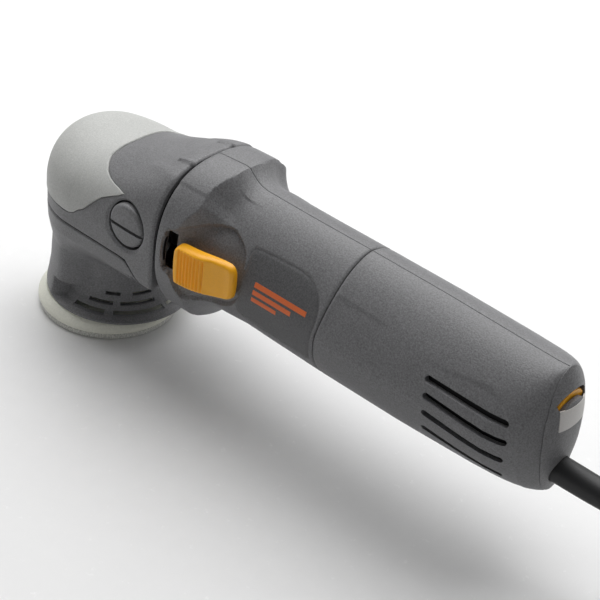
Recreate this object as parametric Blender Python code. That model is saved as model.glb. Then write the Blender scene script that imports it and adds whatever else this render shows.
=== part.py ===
"""Compact dual action polisher, 75 mm plate, barrel grip, mains cord. Metres, +Z up.

Frame: origin on the drive spindle axis in the plane of the pad face, +X toward the cord,
the slide switch on the -Y flank. Helpers take millimetres and scale once, in finish_mesh.
"""
import math

import bmesh
import bpy
from mathutils import Matrix, Vector

MM = 0.001
GAP = 0.3            # clearance between touching pieces

# Driving dimensions, millimetres
HEAD_R = 39.0        # head radius about the spindle
HEAD_MID = 74.0      # height where the head wall starts to close over
HEAD_BASE = 62.0     # parting plane between head cover and shroud
HEAD_END = 60.7      # rear face of the head cover
HEAD_N = 2.7         # superellipse exponent of the head
PLUG_AT = (41.0, 82.0)   # side handle plug, x and z
PLUG_R = 11.2
CAP_END = 24.0       # rear edge of the soft cap
MOTOR_Z = 76.0       # armature axis height
ORBIT = 4.2          # plate centre offset on X and Y, 6 mm eccentric
PLATE_R = 37.5       # backing plate radius
SPLIT_X = 158.0      # joint between motor housing and rear shells
END_X = 265.0        # rear edge of the rear shells
SCOOP = 9.6          # how far the shroud's waist is drawn in behind the head
WHEEL_Z = 87.5       # speed wheel axis height
WHEEL_R = 12.0
GUARD_Z = 58.5       # cord exit height
GUARD_END = 316.0
CORD_R = 3.8
RUN_LENGTH = 106.0   # cord from the guard down to the coil
RUN_TURN = 0.607     # how far that stretch turns toward +Y, radians
COIL_IN, COIL_OUT, COIL_H = 32.0, 55.0, 23.6
PLUG_Y = -30.0       # plug axis from the coil centre

# x, half width, top, middle, bottom, exponent above and below the middle
BARREL = [
    (61.3, 39.1, 118.0, 74.0, 34.0, 2.5, 1.95),
    (65.0, 39.6, 118.7, 74.0, 33.8, 2.45, 1.95),
    (76.0, 39.7, 119.4, 74.0, 34.0, 2.4, 1.95),
    (83.0, 39.3, 119.6, 74.2, 34.6, 2.35, 1.95),
    (89.5, 35.2, 114.6, 75.4, 36.4, 2.0, 1.9),
    (97.0, 33.0, 113.2, 76.6, 39.2, 1.8, 1.85),
    (108.0, 32.2, 112.8, 77.2, 41.4, 1.7, 1.8),
    (125.0, 31.9, 112.6, 77.4, 42.3, 1.7, 1.8),
    (158.0, 31.8, 112.5, 77.4, 42.3, 1.7, 1.8),
    (200.0, 32.1, 111.9, 77.4, 42.5, 1.7, 1.8),
    (238.0, 31.9, 110.5, 77.3, 43.5, 1.7, 1.8),
    (248.0, 31.2, 110.1, 77.5, 43.8, 1.7, 1.8),
    (254.0, 29.6, 109.9, 77.8, 44.0, 1.75, 1.85),
    (258.0, 27.6, 109.8, 78.0, 44.3, 1.8, 1.9),
    (262.0, 24.2, 109.6, 78.4, 44.7, 1.9, 1.95),
    (265.4, 20.2, 109.0, 79.0, 45.6, 2.0, 2.0),
    (268.2, 15.4, 106.2, 79.5, 47.2, 2.0, 2.0),
    (270.6, 14.0, 101.8, 79.8, 49.6, 2.0, 2.0),
    (272.4, 12.0, 96.4, 80.0, 50.4, 2.0, 2.0),
]
# x, top of the head along its middle
HEAD_TOP = [(0.0, 110.0), (20.0, 109.4), (38.0, 110.4), (50.0, 113.6), (60.7, 117.8)]
# z, radius of the shroud, share of the stretch back toward the barrel
SHROUD = [
    (10.5, 38.2, 0.0), (12.5, 38.9, 0.0), (15.0, 38.7, 0.0), (18.0, 38.2, 0.0), (21.0, 37.7, 0.0),
    (25.0, 37.2, 0.0), (33.0, 36.7, 0.0), (40.0, 36.3, 0.0), (45.0, 36.5, 0.2), (50.0, 37.8, 0.75),
    (55.0, 38.8, 1.0), (61.7, 39.0, 1.0),
]


def ease(t):
    t = min(1.0, max(0.0, t))
    return t * t * (3.0 - 2.0 * t)


def interp(table, x, col):
    if x <= table[0][0]:
        return table[0][col]
    for a, b in zip(table, table[1:]):
        if x <= b[0]:
            t = (x - a[0]) / (b[0] - a[0])
            return a[col] + (b[col] - a[col]) * t
    return table[-1][col]


def clear_scene():
    for obj in list(bpy.data.objects):
        bpy.data.objects.remove(obj, do_unlink=True)


def material(name, colour, rough=0.5, metal=0.0):
    mat = bpy.data.materials.new(name)
    mat.use_nodes = True
    bsdf = mat.node_tree.nodes["Principled BSDF"]
    bsdf.inputs["Base Color"].default_value = (*colour, 1.0)
    bsdf.inputs["Roughness"].default_value = rough
    bsdf.inputs["Metallic"].default_value = metal
    return mat


def finish_mesh(name, bm, mat, weld=True):
    if weld:
        bmesh.ops.remove_doubles(bm, verts=bm.verts, dist=0.004)
    bmesh.ops.dissolve_degenerate(bm, edges=bm.edges, dist=0.001)
    bmesh.ops.recalc_face_normals(bm, faces=bm.faces)
    bmesh.ops.scale(bm, vec=(MM, MM, MM), verts=bm.verts)
    mesh = bpy.data.meshes.new(name)
    bm.to_mesh(mesh)
    bm.free()
    mesh.materials.append(mat)
    obj = bpy.data.objects.new(name, mesh)
    bpy.context.collection.objects.link(obj)
    return obj


def from_grid(name, rows, mat, wrap=False, caps=False):
    """Skin through rows of points; wrap closes each row, caps closes the first and last row."""
    bm = bmesh.new()
    grid = [[bm.verts.new(p) for p in row] for row in rows]
    count = len(rows[0])
    last = count if wrap else count - 1
    for r0, r1 in zip(grid, grid[1:]):
        for j in range(last):
            k = (j + 1) % count
            bm.faces.new((r0[j], r0[k], r1[k], r1[j]))
    if caps:
        bm.faces.new(grid[0][::-1])
        bm.faces.new(grid[-1])
    return finish_mesh(name, bm, mat)


def shell(name, outer, inner, mat, crown=False):
    """Closed wall between two open grids; with crown the last column meets itself."""
    bm = bmesh.new()
    a = [[bm.verts.new(p) for p in row] for row in outer]
    b = [[bm.verts.new(p) for p in row] for row in inner]
    nu = len(outer)
    nv = len(outer[0])
    for i in range(nu - 1):
        for j in range(nv - 1):
            bm.faces.new((a[i][j], a[i][j + 1], a[i + 1][j + 1], a[i + 1][j]))
            bm.faces.new((b[i][j], b[i + 1][j], b[i + 1][j + 1], b[i][j + 1]))
    edge = [(i, 0) for i in range(nu)] + [(nu - 1, j) for j in range(1, nv)]
    edge += [(i, nv - 1) for i in range(nu - 2, -1, -1)] + [(0, j) for j in range(nv - 2, 0, -1)]
    for (i, j), (k, m) in zip(edge, edge[1:] + edge[:1]):
        if crown and j == nv - 1 and m == nv - 1:
            continue
        bm.faces.new((a[i][j], a[k][m], b[k][m], b[i][j]))
    return finish_mesh(name, bm, mat)


def turned(name, profile, mat, steps=24, axis="z", centre=(0.0, 0.0, 0.0)):
    """Turn a closed (radius, height) outline about an axis through centre."""
    rows = []
    for k in range(steps):
        ang = 2.0 * math.pi * k / steps
        row = []
        for r, h in profile:
            u = r * math.cos(ang)
            v = r * math.sin(ang)
            p = (u, v, h) if axis == "z" else (h, u, v) if axis == "x" else (v, h, u)
            row.append((p[0] + centre[0], p[1] + centre[1], p[2] + centre[2]))
        rows.append(row)
    bm = bmesh.new()
    grid = [[bm.verts.new(p) for p in row] for row in rows]
    n = len(profile)
    for k in range(steps):
        r0 = grid[k]
        r1 = grid[(k + 1) % steps]
        for j in range(n):
            m = (j + 1) % n
            if profile[j][0] < 1e-6 and profile[m][0] < 1e-6:
                continue
            bm.faces.new((r0[j], r0[m], r1[m], r1[j]))
    return finish_mesh(name, bm, mat)


def disc(name, r, h0, h1, mat, steps=24, axis="z", centre=(0.0, 0.0, 0.0)):
    return turned(name, [(0.0, h0), (r, h0), (r, h1), (0.0, h1)], mat, steps, axis, centre)


def ring(name, r0, r1, h0, h1, mat, steps=24, axis="z", centre=(0.0, 0.0, 0.0)):
    return turned(name, [(r0, h0), (r1, h0), (r1, h1), (r0, h1)], mat, steps, axis, centre)


def box(name, x0, x1, y0, y1, z0, z1, mat, bevel=0.0):
    bm = bmesh.new()
    bmesh.ops.create_cube(bm, size=1.0)
    for v in bm.verts:
        v.co.x = (x0 + x1) / 2.0 + v.co.x * (x1 - x0)
        v.co.y = (y0 + y1) / 2.0 + v.co.y * (y1 - y0)
        v.co.z = (z0 + z1) / 2.0 + v.co.z * (z1 - z0)
    if bevel > 0.0:
        bmesh.ops.bevel(bm, geom=list(bm.edges), offset=bevel, segments=1, affect="EDGES")
    return finish_mesh(name, bm, mat)


def prism(name, outline, h0, h1, mat, axis="z"):
    """Extrude a 2-D outline along an axis; on y the outline is (x, z), on x it is (y, z)."""
    def place(p, h):
        if axis == "z":
            return (p[0], p[1], h)
        if axis == "y":
            return (p[0], h, p[1])
        return (h, p[0], p[1])
    return from_grid(name, [[place(p, h0) for p in outline], [place(p, h1) for p in outline]], mat,
                     wrap=True, caps=True)


def arc_slab(bm, r0, r1, a0, a1, h0, h1, steps=6, axis="z", centre=(0.0, 0.0, 0.0)):
    """Add a closed arc-shaped block to bm."""
    cols = []
    for k in range(steps + 1):
        ang = math.radians(a0 + (a1 - a0) * k / steps)
        pts = []
        for r, h in ((r0, h0), (r1, h0), (r1, h1), (r0, h1)):
            u = r * math.cos(ang)
            v = r * math.sin(ang)
            p = (u, v, h) if axis == "z" else (h, u, v)
            pts.append(bm.verts.new((p[0] + centre[0], p[1] + centre[1], p[2] + centre[2])))
        cols.append(pts)
    for c0, c1 in zip(cols, cols[1:]):
        for j in range(4):
            m = (j + 1) % 4
            bm.faces.new((c0[j], c0[m], c1[m], c1[j]))
    bm.faces.new(cols[0][::-1])
    bm.faces.new(cols[-1])


def combine(target, others, mode):
    """Apply one exact Boolean per object in others, then drop them."""
    for other in others:
        mod = target.modifiers.new(mode.lower(), "BOOLEAN")
        mod.operation = mode
        mod.solver = "EXACT"
        mod.object = other
    bpy.context.view_layer.update()
    graph = bpy.context.evaluated_depsgraph_get()
    mesh = bpy.data.meshes.new_from_object(target.evaluated_get(graph))
    target.modifiers.clear()
    target.data = mesh
    for other in others:
        bpy.data.objects.remove(other, do_unlink=True)
    return target


def cut(target, *cutters):
    return combine(target, cutters, "DIFFERENCE")


def join(target, *others):
    return combine(target, others, "UNION")


def set_origin(obj, x, y, z):
    shift = Vector((x * MM, y * MM, z * MM))
    obj.data.transform(Matrix.Translation(-shift))
    obj.location = shift


def head_point(u, phi, inset):
    """Point of the head skin. u: side and run, phi: rise, inset: depth under the skin."""
    kind, value = u
    x = value if kind != "turn" else 0.0
    half = HEAD_R - inset
    rise = interp(HEAD_TOP, x, 1) - HEAD_MID - inset
    if phi < 0.0:
        z = HEAD_MID + (HEAD_MID - HEAD_BASE) * phi / 0.35
        c = 1.0
    else:
        z = HEAD_MID + rise * math.sin(phi) ** (2.0 / HEAD_N)
        c = max(0.0, math.cos(phi)) ** (2.0 / HEAD_N)
        if phi > math.pi / 2.0 - 1e-6:
            c = 0.0
    if kind == "left":
        return (x, -half * c, z)
    if kind == "right":
        return (x, half * c, z)
    ang = math.radians(-90.0 - value)
    return (math.cos(ang) * half * c, math.sin(ang) * half * c, z)


def head_path(x_end, stops, turns=14):
    xs = [x_end] + [s for s in stops if s < x_end - 1.0]
    path = [("left", x) for x in xs]
    path += [("turn", 180.0 * k / turns) for k in range(turns + 1)]
    path += [("right", x) for x in reversed(xs)]
    return path


def phi_of(z, top):
    if z < HEAD_MID:
        return 0.35 * (z - HEAD_MID) / (HEAD_MID - HEAD_BASE)
    return math.asin(min(1.0, ((z - HEAD_MID) / (top - HEAD_MID)) ** (HEAD_N / 2.0)))


def head_skin(path, inset, base, rows=9):
    """Grid of head points from the base height (a function of x) up to the crown."""
    grid = []
    for u in path:
        x = u[1] if u[0] != "turn" else -HEAD_R * math.sin(math.radians(u[1]))
        top = interp(HEAD_TOP, max(0.0, x), 1) - inset
        low = phi_of(base(x), top)
        if low < 0.0:
            phis = [low, 0.0] + [math.pi / 2.0 * k / (rows - 2) for k in range(1, rows - 1)]
        else:
            phis = [low + (math.pi / 2.0 - low) * k / (rows - 1) for k in range(rows)]
        grid.append([head_point(u, p, inset) for p in phis])
    return grid


def cap_base(x):
    t = min(1.0, max(0.0, (x + 8.0) / 32.0))
    return 69.0 + 20.0 * t * t * (3.0 - 2.0 * t)


def make_head(m):
    stops = (50.0, 40.0, 28.0, 14.0)
    path = head_path(HEAD_END, stops)
    cover = shell("head_cover", head_skin(path, 0.0, lambda x: HEAD_BASE),
                  head_skin(path, 5.0, lambda x: HEAD_BASE), m["dark"], True)
    bed_path = head_path(CAP_END + GAP, (12.0,))
    bed = shell("bed", head_skin(bed_path, -2.0, lambda x: cap_base(x) - GAP),
                head_skin(bed_path, 2.2 + GAP, lambda x: cap_base(x) - GAP), m["dark"], True)
    plugs = []
    for side in (-1.0, 1.0):
        a, b = sorted((side * 32.0, side * 42.0))
        plugs.append(disc("hole", PLUG_R + GAP, a, b, m["dark"], 28, "y", (PLUG_AT[0], 0.0, PLUG_AT[1])))
    cut(cover, bed, *plugs)
    cap_path = head_path(CAP_END, (12.0,))
    shell("head_cap", head_skin(cap_path, 0.0, cap_base), head_skin(cap_path, 2.2, cap_base),
          m["pale"], True)
    for side, name in ((-1.0, "handle_plug_left"), (1.0, "handle_plug_right")):
        prof = [(0.0, side * 34.0), (PLUG_R, side * 34.0), (PLUG_R, side * 36.4),
                (PLUG_R - 1.4, side * 37.8), (0.0, side * 37.8)]
        plug = turned(name, prof, m["dark"], 28, "y", (PLUG_AT[0], 0.0, PLUG_AT[1]))
        y0, y1 = sorted((side * 36.6, side * 39.0))
        cut(plug, box("slot", PLUG_AT[0] - 9.5, PLUG_AT[0] + 9.5, y0, y1, PLUG_AT[1] - 1.8,
                      PLUG_AT[1] - 0.2, m["dark"]))


def shroud_ring(z, inset, steps=32):
    r = interp(SHROUD, z, 1) - inset
    stretch = interp(SHROUD, z, 2)
    rise = ease((z - 12.5) / 11.0) * (1.0 - ease((z - 40.0) / 14.0))
    pts = []
    for k in range(steps):
        ang = 2.0 * math.pi * k / steps
        back = abs(math.degrees(ang) - (360.0 if ang > math.pi else 0.0))
        scoop = ease((106.0 - back) / 34.0)
        rad = r - SCOOP * rise * scoop
        x = rad * math.cos(ang)
        y = rad * math.sin(ang)
        if x > 0.0 and stretch > 0.0:
            reach = HEAD_END - inset
            flank = min(1.0, abs(math.sin(ang)) * 1.9)
            full_x = reach * min(1.0, 1.9 * math.cos(ang))
            x = x + (full_x - x) * stretch
            y = y + (math.copysign(r * flank, math.sin(ang)) - y) * stretch
            if abs(math.sin(ang)) < 1e-6:
                y = 0.0
        pts.append((x, y, z))
    return pts


def make_shroud(m):
    levels = [row[0] for row in SHROUD]
    rows = [shroud_ring(z, 0.0) for z in levels]
    rows += [shroud_ring(z, 2.4) for z in reversed(levels)]
    bm = bmesh.new()
    grid = [[bm.verts.new(p) for p in row] for row in rows]
    for i in range(len(grid)):
        r0 = grid[i]
        r1 = grid[(i + 1) % len(grid)]
        for j in range(len(r0)):
            k = (j + 1) % len(r0)
            bm.faces.new((r0[j], r0[k], r1[k], r1[j]))
    obj = finish_mesh("shroud", bm, m["dark"])
    cutters = []
    for side in (-1.0, 1.0):
        for z0, spans in ((14.2, ((12.0, 50.0), (57.0, 86.0))), (17.2, ((12.0, 44.0), (51.0, 74.0))),
                          (20.6, ((12.0, 38.0), (45.0, 61.0)))):
            for a0, a1 in spans:
                slab = bmesh.new()
                arc_slab(slab, 23.0, 42.0, side * a0, side * a1, z0, z0 + 1.5, 5)
                cutters.append(finish_mesh("slot", slab, m["dark"]))
    cut(obj, *cutters)


def barrel_point(x, phi, inset):
    half = interp(BARREL, x, 1) - inset
    top = interp(BARREL, x, 2) - inset
    mid = interp(BARREL, x, 3)
    low = interp(BARREL, x, 4) + inset
    c = math.cos(phi)
    s = math.sin(phi)
    n = interp(BARREL, x, 5 if s > 0.0 else 6)
    y = half * math.copysign(abs(c) ** (2.0 / n), c)
    z = mid + (top - mid if s > 0.0 else mid - low) * math.copysign(abs(s) ** (2.0 / n), s)
    return (y, z)


def half_barrel(name, x0, x1, side, m, inset=3.0, steps=14):
    """One half of the split barrel, walls from x0 to x1."""
    xs = [x0] + [row[0] for row in BARREL if x0 + 1.0 < row[0] < x1 - 1.0] + [x1]
    grids = []
    for depth in (0.0, inset):
        rows = []
        for x in xs:
            row = []
            for k in range(steps + 1):
                phi = -math.pi / 2.0 + math.pi * k / steps
                y, z = barrel_point(x, phi, depth)
                row.append((x, side * max(0.15, y), z))
            rows.append(row)
        grids.append(rows)
    return shell(name, grids[0], grids[1], m["dark"])


SHELL_SCREWS = [(168.0, 96.0), (168.0, 56.5), (246.0, 55.5), (90.0, 43.5), (146.0, 103.0)]


def make_barrel(m):
    parts = {}
    for side, tag in ((-1.0, "left"), (1.0, "right")):
        parts["housing_" + tag] = half_barrel("housing_" + tag, 61.3, SPLIT_X - 0.15, side, m)
        rear = half_barrel("rear_shell_" + tag, SPLIT_X + 0.15, END_X, side, m)
        parts["rear_shell_" + tag] = rear
        slots = []
        for z in (66.0, 74.0, 82.0, 91.0):
            y0, y1 = sorted((side * 20.0, side * 36.0))
            slots.append(box("vent", 216.0, 258.0, y0, y1, z - 1.9, z + 1.9, m["dark"]))
        cut(rear, *slots)
    cut(parts["housing_left"], box("window", 64.5, 111.0, -44.0, -26.0, 66.5, 97.5, m["dark"]))
    for index, (x, z) in enumerate(SHELL_SCREWS):
        rear = "rear_shell_" if x > SPLIT_X else "housing_"
        wall = abs(side_y(x, z, 0.0))
        inner = abs(side_y(x, z, 3.0))
        right = parts[rear + "right"]
        left = parts[rear + "left"]
        boss = ring("boss", 1.75, 3.8, -(inner + 1.0), inner - 14.0, m["dark"], 12, "y", (x, 0.0, z))
        join(left, boss)
        sink = disc("sink", 3.5, wall - 2.0, wall + 3.0, m["dark"], 14, "y", (x, 0.0, z))
        bore = disc("bore", 1.9, inner - 5.0, wall + 2.0, m["dark"], 10, "y", (x, 0.0, z))
        cut(right, sink, bore)
        top = wall - 0.6
        prof = [(0.0, inner - 20.0), (1.45, inner - 20.0), (1.45, wall - 1.7), (3.0, wall - 1.7),
                (3.0, top), (0.0, top)]
        turned("shell_screw_%d" % (index + 1), prof, m["steel"], 12, "y", (x, 0.0, z))
    return parts


def side_y(x, z, inset):
    """Half width of the barrel wall at a height."""
    half = interp(BARREL, x, 1) - inset
    mid = interp(BARREL, x, 3)
    n = interp(BARREL, x, 5 if z > mid else 6)
    span = interp(BARREL, x, 2) - inset - mid if z > mid else mid - interp(BARREL, x, 4) - inset
    return half * max(0.0, 1.0 - (abs(z - mid) / span) ** n) ** (1.0 / n)


def make_end(m):
    rows = []
    for x, at, inset in ((269.6, 269.2, 1.6), (267.4, 267.4, 2.4), (END_X + GAP, END_X + GAP, 2.6),
                         (END_X + GAP, END_X + GAP, 0.0), (268.2, 268.2, 0.0), (270.6, 270.6, 0.0),
                         (272.4, 272.4, 0.0)):
        row = [barrel_point(at, 2.0 * math.pi * k / 28, inset) for k in range(28)]
        rows.append([(x, y, z) for y, z in row])
    cap = from_grid("end_cap", rows, m["dark"], wrap=True, caps=True)
    slot = box("slot", 263.5, 276.0, -10.6, 10.6, 94.6, 101.6, m["dark"])
    hole = disc("hole", 6.7, 266.0, 276.0, m["dark"], 20, "x", (0.0, 0.0, GUARD_Z))
    rest = box("rest", 271.5, 275.0, -9.3, 9.3, 83.7, 93.6, m["dark"])
    cut(cap, slot, hole, rest)
    box("end_label", 271.8, 272.6, -9.0, 9.0, 84.0, 93.3, m["pale"])
    prof = [(0.0, 256.0), (2.2, 256.0), (2.2, 264.8), (WHEEL_R - 1.0, 264.8), (WHEEL_R, 265.6),
            (WHEEL_R, 268.2), (WHEEL_R - 1.0, 269.0), (0.0, 269.0)]
    wheel = turned("speed_wheel", prof, m["orange"], 36, "x", (0.0, 0.0, WHEEL_Z))
    set_origin(wheel, 267.0, 0.0, WHEEL_Z)
    pot = ring("speed_pot", 2.5, 7.0, 252.0, 260.0, m["black"], 16, "x", (0.0, 0.0, WHEEL_Z))
    join(pot, box("foot", 253.0, 256.0, -6.0, 6.0, 72.7, 82.5, m["black"]))
    guard = [(0.0, 268.2), (7.1, 268.2), (7.1, 269.3), (6.4, 269.3), (6.4, 280.0), (5.9, 296.0),
             (5.1, GUARD_END), (0.0, GUARD_END)]
    turned("cord_guard", guard, m["black"], 20, "x", (0.0, 0.0, GUARD_Z))
    box("cord_clamp", 251.0, 257.0, -9.0, 9.0, 52.0, 57.0, m["black"], 0.6)


def make_switch(m):
    tray = box("switch_bezel", 64.8, 110.7, -35.6, -33.8, 66.8, 97.2, m["black"])
    cut(tray, box("slot", 74.0, 98.0, -37.0, -32.0, 78.6, 85.4, m["black"]))
    outline = [(73.5, 67.5), (105.5, 69.5), (109.5, 75.0), (110.2, 90.0), (107.0, 95.5),
               (78.5, 95.8), (74.8, 92.5)]
    button = prism("slide_button", outline, -40.9, -36.0, m["orange"], "y")
    join(button, box("stem", 84.0, 94.0, -37.0, -26.6, 80.0, 84.0, m["orange"]))
    set_origin(button, 92.0, -36.0, 82.0)
    rod = box("slide_rod", 84.0, 196.0, -26.3, -24.9, 80.6, 83.4, m["black"])
    set_origin(rod, 92.0, -26.0, 82.0)
    box("switch_module", 186.0, 208.0, -24.5, -11.0, 77.0, 89.0, m["black"], 0.5)


def make_motor(m):
    axis = (0.0, 0.0, MOTOR_Z)
    ring("stator_core", 19.0, 24.4, 84.0, 136.0, m["steel"], 28, "x", axis)
    for name, mid in (("field_coil_upper", 90.0), ("field_coil_lower", 270.0)):
        bm = bmesh.new()
        arc_slab(bm, 15.4, 18.7, mid - 60.0, mid + 60.0, 80.0, 140.0, 10, "x", axis)
        finish_mesh(name, bm, m["copper"])
    shaft = turned("armature_shaft", [(0.0, 8.0), (3.9, 8.0), (3.9, 178.0), (0.0, 178.0)],
                   m["steel"], 16, "x", axis)
    core = ring("armature_core", 4.2, 14.8, 86.0, 134.0, m["steel"], 24, "x", axis)
    comm = ring("commutator", 4.2, 10.0, 142.0, 157.0, m["copper"], 24, "x", axis)
    pinion = gear("pinion", 8, 4.2, 8.0, 12.0, 22.0, m["steel"], "x", axis, 0.75)
    hub = ring("cooling_fan", 4.2, 9.0, 65.4, 74.6, m["black"], 24, "x", axis)
    disc_part = ring("web", 7.1, 27.0, 72.0, 74.0, m["black"], 26, "x", axis)
    blades = []
    for k in range(9):
        blade = box("blade", 66.2, 72.9, -0.8, 0.8, 7.6, 26.2, m["black"])
        blade.data.transform(Matrix.Rotation(2.0 * math.pi * k / 9, 4, "X"))
        blade.data.transform(Matrix.Translation((0.0, 0.0, MOTOR_Z * MM)))
        blades.append(blade)
    join(hub, disc_part, *blades)
    for obj in (shaft, core, comm, pinion, hub):
        set_origin(obj, 0.0, 0.0, MOTOR_Z)
    baffle = ring("fan_baffle", 17.0, 33.0, 77.0, 79.0, m["black"], 28, "x", axis)
    cut(baffle, box("pass", 76.0, 80.0, -40.0, -23.5, 78.5, 85.5, m["black"]))
    ring("front_bearing", 4.2, 11.0, 40.0, 50.0, m["steel"], 24, "x", axis)
    ring("rear_bearing", 4.2, 9.0, 168.0, 175.0, m["steel"], 20, "x", axis)
    for side, tag in ((-1.0, "left"), (1.0, "right")):
        a, b = sorted((side * 13.0, side * 24.0))
        holder = box("brush_holder_" + tag, 144.5, 154.5, a, b, MOTOR_Z - 5.0, MOTOR_Z + 5.0,
                     m["brass"])
        c, d = sorted((side * 12.0, side * 26.0))
        cut(holder, box("bore", 146.3, 152.7, c, d, MOTOR_Z - 3.3, MOTOR_Z + 3.3, m["brass"]))
        a, b = sorted((side * 10.3, side * 18.0))
        box("carbon_brush_" + tag, 146.6, 152.4, a, b, MOTOR_Z - 3.0, MOTOR_Z + 3.0, m["carbon"])
        spring("brush_spring_" + tag, side, m)


def spring(name, side, m):
    curve = bpy.data.curves.new(name, "CURVE")
    curve.dimensions = "3D"
    curve.bevel_depth = 0.35 * MM
    curve.bevel_resolution = 1
    curve.use_fill_caps = True
    line = curve.splines.new("POLY")
    count = 41
    line.points.add(count - 1)
    for k in range(count):
        t = k / (count - 1)
        ang = 2.0 * math.pi * 4.0 * t
        x = 149.5 + 2.2 * math.cos(ang)
        z = MOTOR_Z + 2.2 * math.sin(ang)
        y = side * (18.7 + 5.2 * t)
        line.points[k].co = (x * MM, y * MM, z * MM, 1.0)
    curve.materials.append(m["steel"])
    obj = bpy.data.objects.new(name, curve)
    bpy.context.collection.objects.link(obj)


def gear(name, teeth, r_in, r_out, h0, h1, mat, axis, centre, taper=1.0, web=None):
    """Toothed ring between h0 and h1; taper scales the tip radius at h0."""
    outline = []
    for k in range(teeth):
        for f, r in ((0.0, 1.0), (0.25, 1.0), (0.5, 0.86), (0.75, 0.86)):
            outline.append((2.0 * math.pi * (k + f) / teeth, r))
    rows = []
    for r_scale, h, inner in ((taper, h0, False), (1.0, h1, False), (1.0, h1, True), (1.0, h0, True)):
        row = []
        for ang, f in outline:
            r = r_in if inner else r_out * f * r_scale
            u = r * math.cos(ang)
            v = r * math.sin(ang)
            p = (u, v, h) if axis == "z" else (h, u, v)
            row.append((p[0] + centre[0], p[1] + centre[1], p[2] + centre[2]))
        rows.append(row)
    rows.append(rows[0])
    return from_grid(name, rows, mat, wrap=True)


def make_gearbox(m):
    wall = [(26.0, 48.0), (28.8, 48.0), (28.8, 92.0), (10.0, 98.0), (10.0, 95.0), (26.0, 89.5)]
    case = turned("gear_case", wall, m["alloy"], 32)
    door = disc("door", 15.0, 20.0, 40.0, m["alloy"], 24, "x", (0.0, 0.0, MOTOR_Z))
    cut(case, door)
    carrier = ring("carrier", 11.3, 16.5, 24.6, 49.0, m["alloy"], 24, "x", (0.0, 0.0, MOTOR_Z))
    join(case, carrier)
    ring("spindle_bearing_upper", 4.2, 9.7, 86.0, 93.0, m["steel"], 20)
    shaft = [(0.0, 34.3), (8.0, 34.3), (8.0, 44.7), (5.0, 44.7), (5.0, 56.0), (3.9, 56.0),
             (3.9, 94.0), (0.0, 94.0)]
    spindle = turned("spindle_shaft", shaft, m["steel"], 20)
    wheel = gear("bevel_gear", 36, 4.2, 24.0, 67.6, 63.0, m["steel"], "z", (0.0, 0.0, 0.0), 0.93)
    ring("spindle_bearing_lower", 8.3, 16.0, 35.0, 44.0, m["steel"], 24)
    turned("bearing_retainer", [(16.3, 34.5), (23.0, 34.5), (23.6, 35.5), (23.6, 41.5), (27.5, 47.7), (16.3, 47.7)],
           m["alloy"], 28)
    hub = disc("eccentric_hub", 13.0, 23.0, 34.0, m["steel"], 28)
    bm = bmesh.new()
    arc_slab(bm, 11.0, 22.6, 0.0, 90.0, 24.0, 33.0, 8)
    weight = finish_mesh("weight", bm, m["steel"])
    pocket = disc("pocket", 8.3, 20.0, 31.0, m["steel"], 24, "z", (-ORBIT, -ORBIT, 0.0))
    shoulder = disc("shoulder", 14.5, 23.0, 31.5, m["steel"], 28, "z", (-ORBIT * 0.6, -ORBIT * 0.6, 0.0))
    join(hub, shoulder, weight)
    cut(hub, pocket)
    bearing = ring("eccentric_bearing", 4.3, 8.0, 23.5, 30.7, m["steel"], 20, "z",
                   (-ORBIT, -ORBIT, 0.0))
    for obj in (spindle, wheel, hub, bearing):
        set_origin(obj, 0.0, 0.0, 50.0)


def make_plate(m):
    centre = (-ORBIT, -ORBIT, 0.0)
    foam = [(3.4, 3.3), (PLATE_R - 0.9, 3.3), (PLATE_R, 4.6), (PLATE_R - 0.3, 6.4), (PLATE_R - 2.5, 9.0),
            (PLATE_R - 5.0, 10.2), (3.4, 10.2)]
    plate = turned("plate_foam", foam, m["cream"], 48, "z", centre)
    hook = ring("hook_disc", 4.8, PLATE_R - 1.0, 0.0, 3.0, m["felt"], 48, "z", centre)
    hub = turned("plate_hub", [(3.0, 10.5), (13.0, 10.5), (13.0, 13.0), (8.0, 14.5), (5.0, 22.5),
                               (4.0, 22.5), (4.0, 30.0), (3.0, 30.0)], m["steel"], 24, "z", centre)
    screw = turned("plate_screw", [(0.0, 1.0), (1.6, 1.0), (1.6, 0.6), (4.4, 0.6), (4.4, 3.0),
                                   (2.7, 3.0), (2.7, 28.0), (0.0, 28.0)], m["steel"], 20, "z", centre)
    for obj in (plate, hook, hub, screw):
        set_origin(obj, -ORBIT, -ORBIT, 10.0)


def smooth_route(route, step):
    """Evenly spaced points on a smooth curve through the route points."""
    pts = [Vector(p) for p in route]
    dense = []
    for i in range(len(pts) - 1):
        p0 = pts[i - 1] if i > 0 else pts[i] * 2.0 - pts[i + 1]
        p1 = pts[i]
        p2 = pts[i + 1]
        p3 = pts[i + 2] if i + 2 < len(pts) else pts[i + 1] * 2.0 - pts[i]
        for k in range(24):
            t = k / 24.0
            a = p1 * 2.0
            b = (p2 - p0) * t
            c = (p0 * 2.0 - p1 * 5.0 + p2 * 4.0 - p3) * t * t
            d = (p1 * 3.0 - p0 - p2 * 3.0 + p3) * t * t * t
            dense.append((a + b + c + d) * 0.5)
    dense.append(pts[-1])
    total = sum((b - a).length for a, b in zip(dense, dense[1:]))
    count = max(2, round(total / step))
    want = [total * k / count for k in range(count + 1)]
    out = [dense[0]]
    run = 0.0
    index = 1
    for a, b in zip(dense, dense[1:]):
        length = (b - a).length
        while index < count and run + length >= want[index]:
            out.append(a.lerp(b, (want[index] - run) / length))
            index += 1
        run += length
    out.append(dense[-1])
    return out


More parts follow.
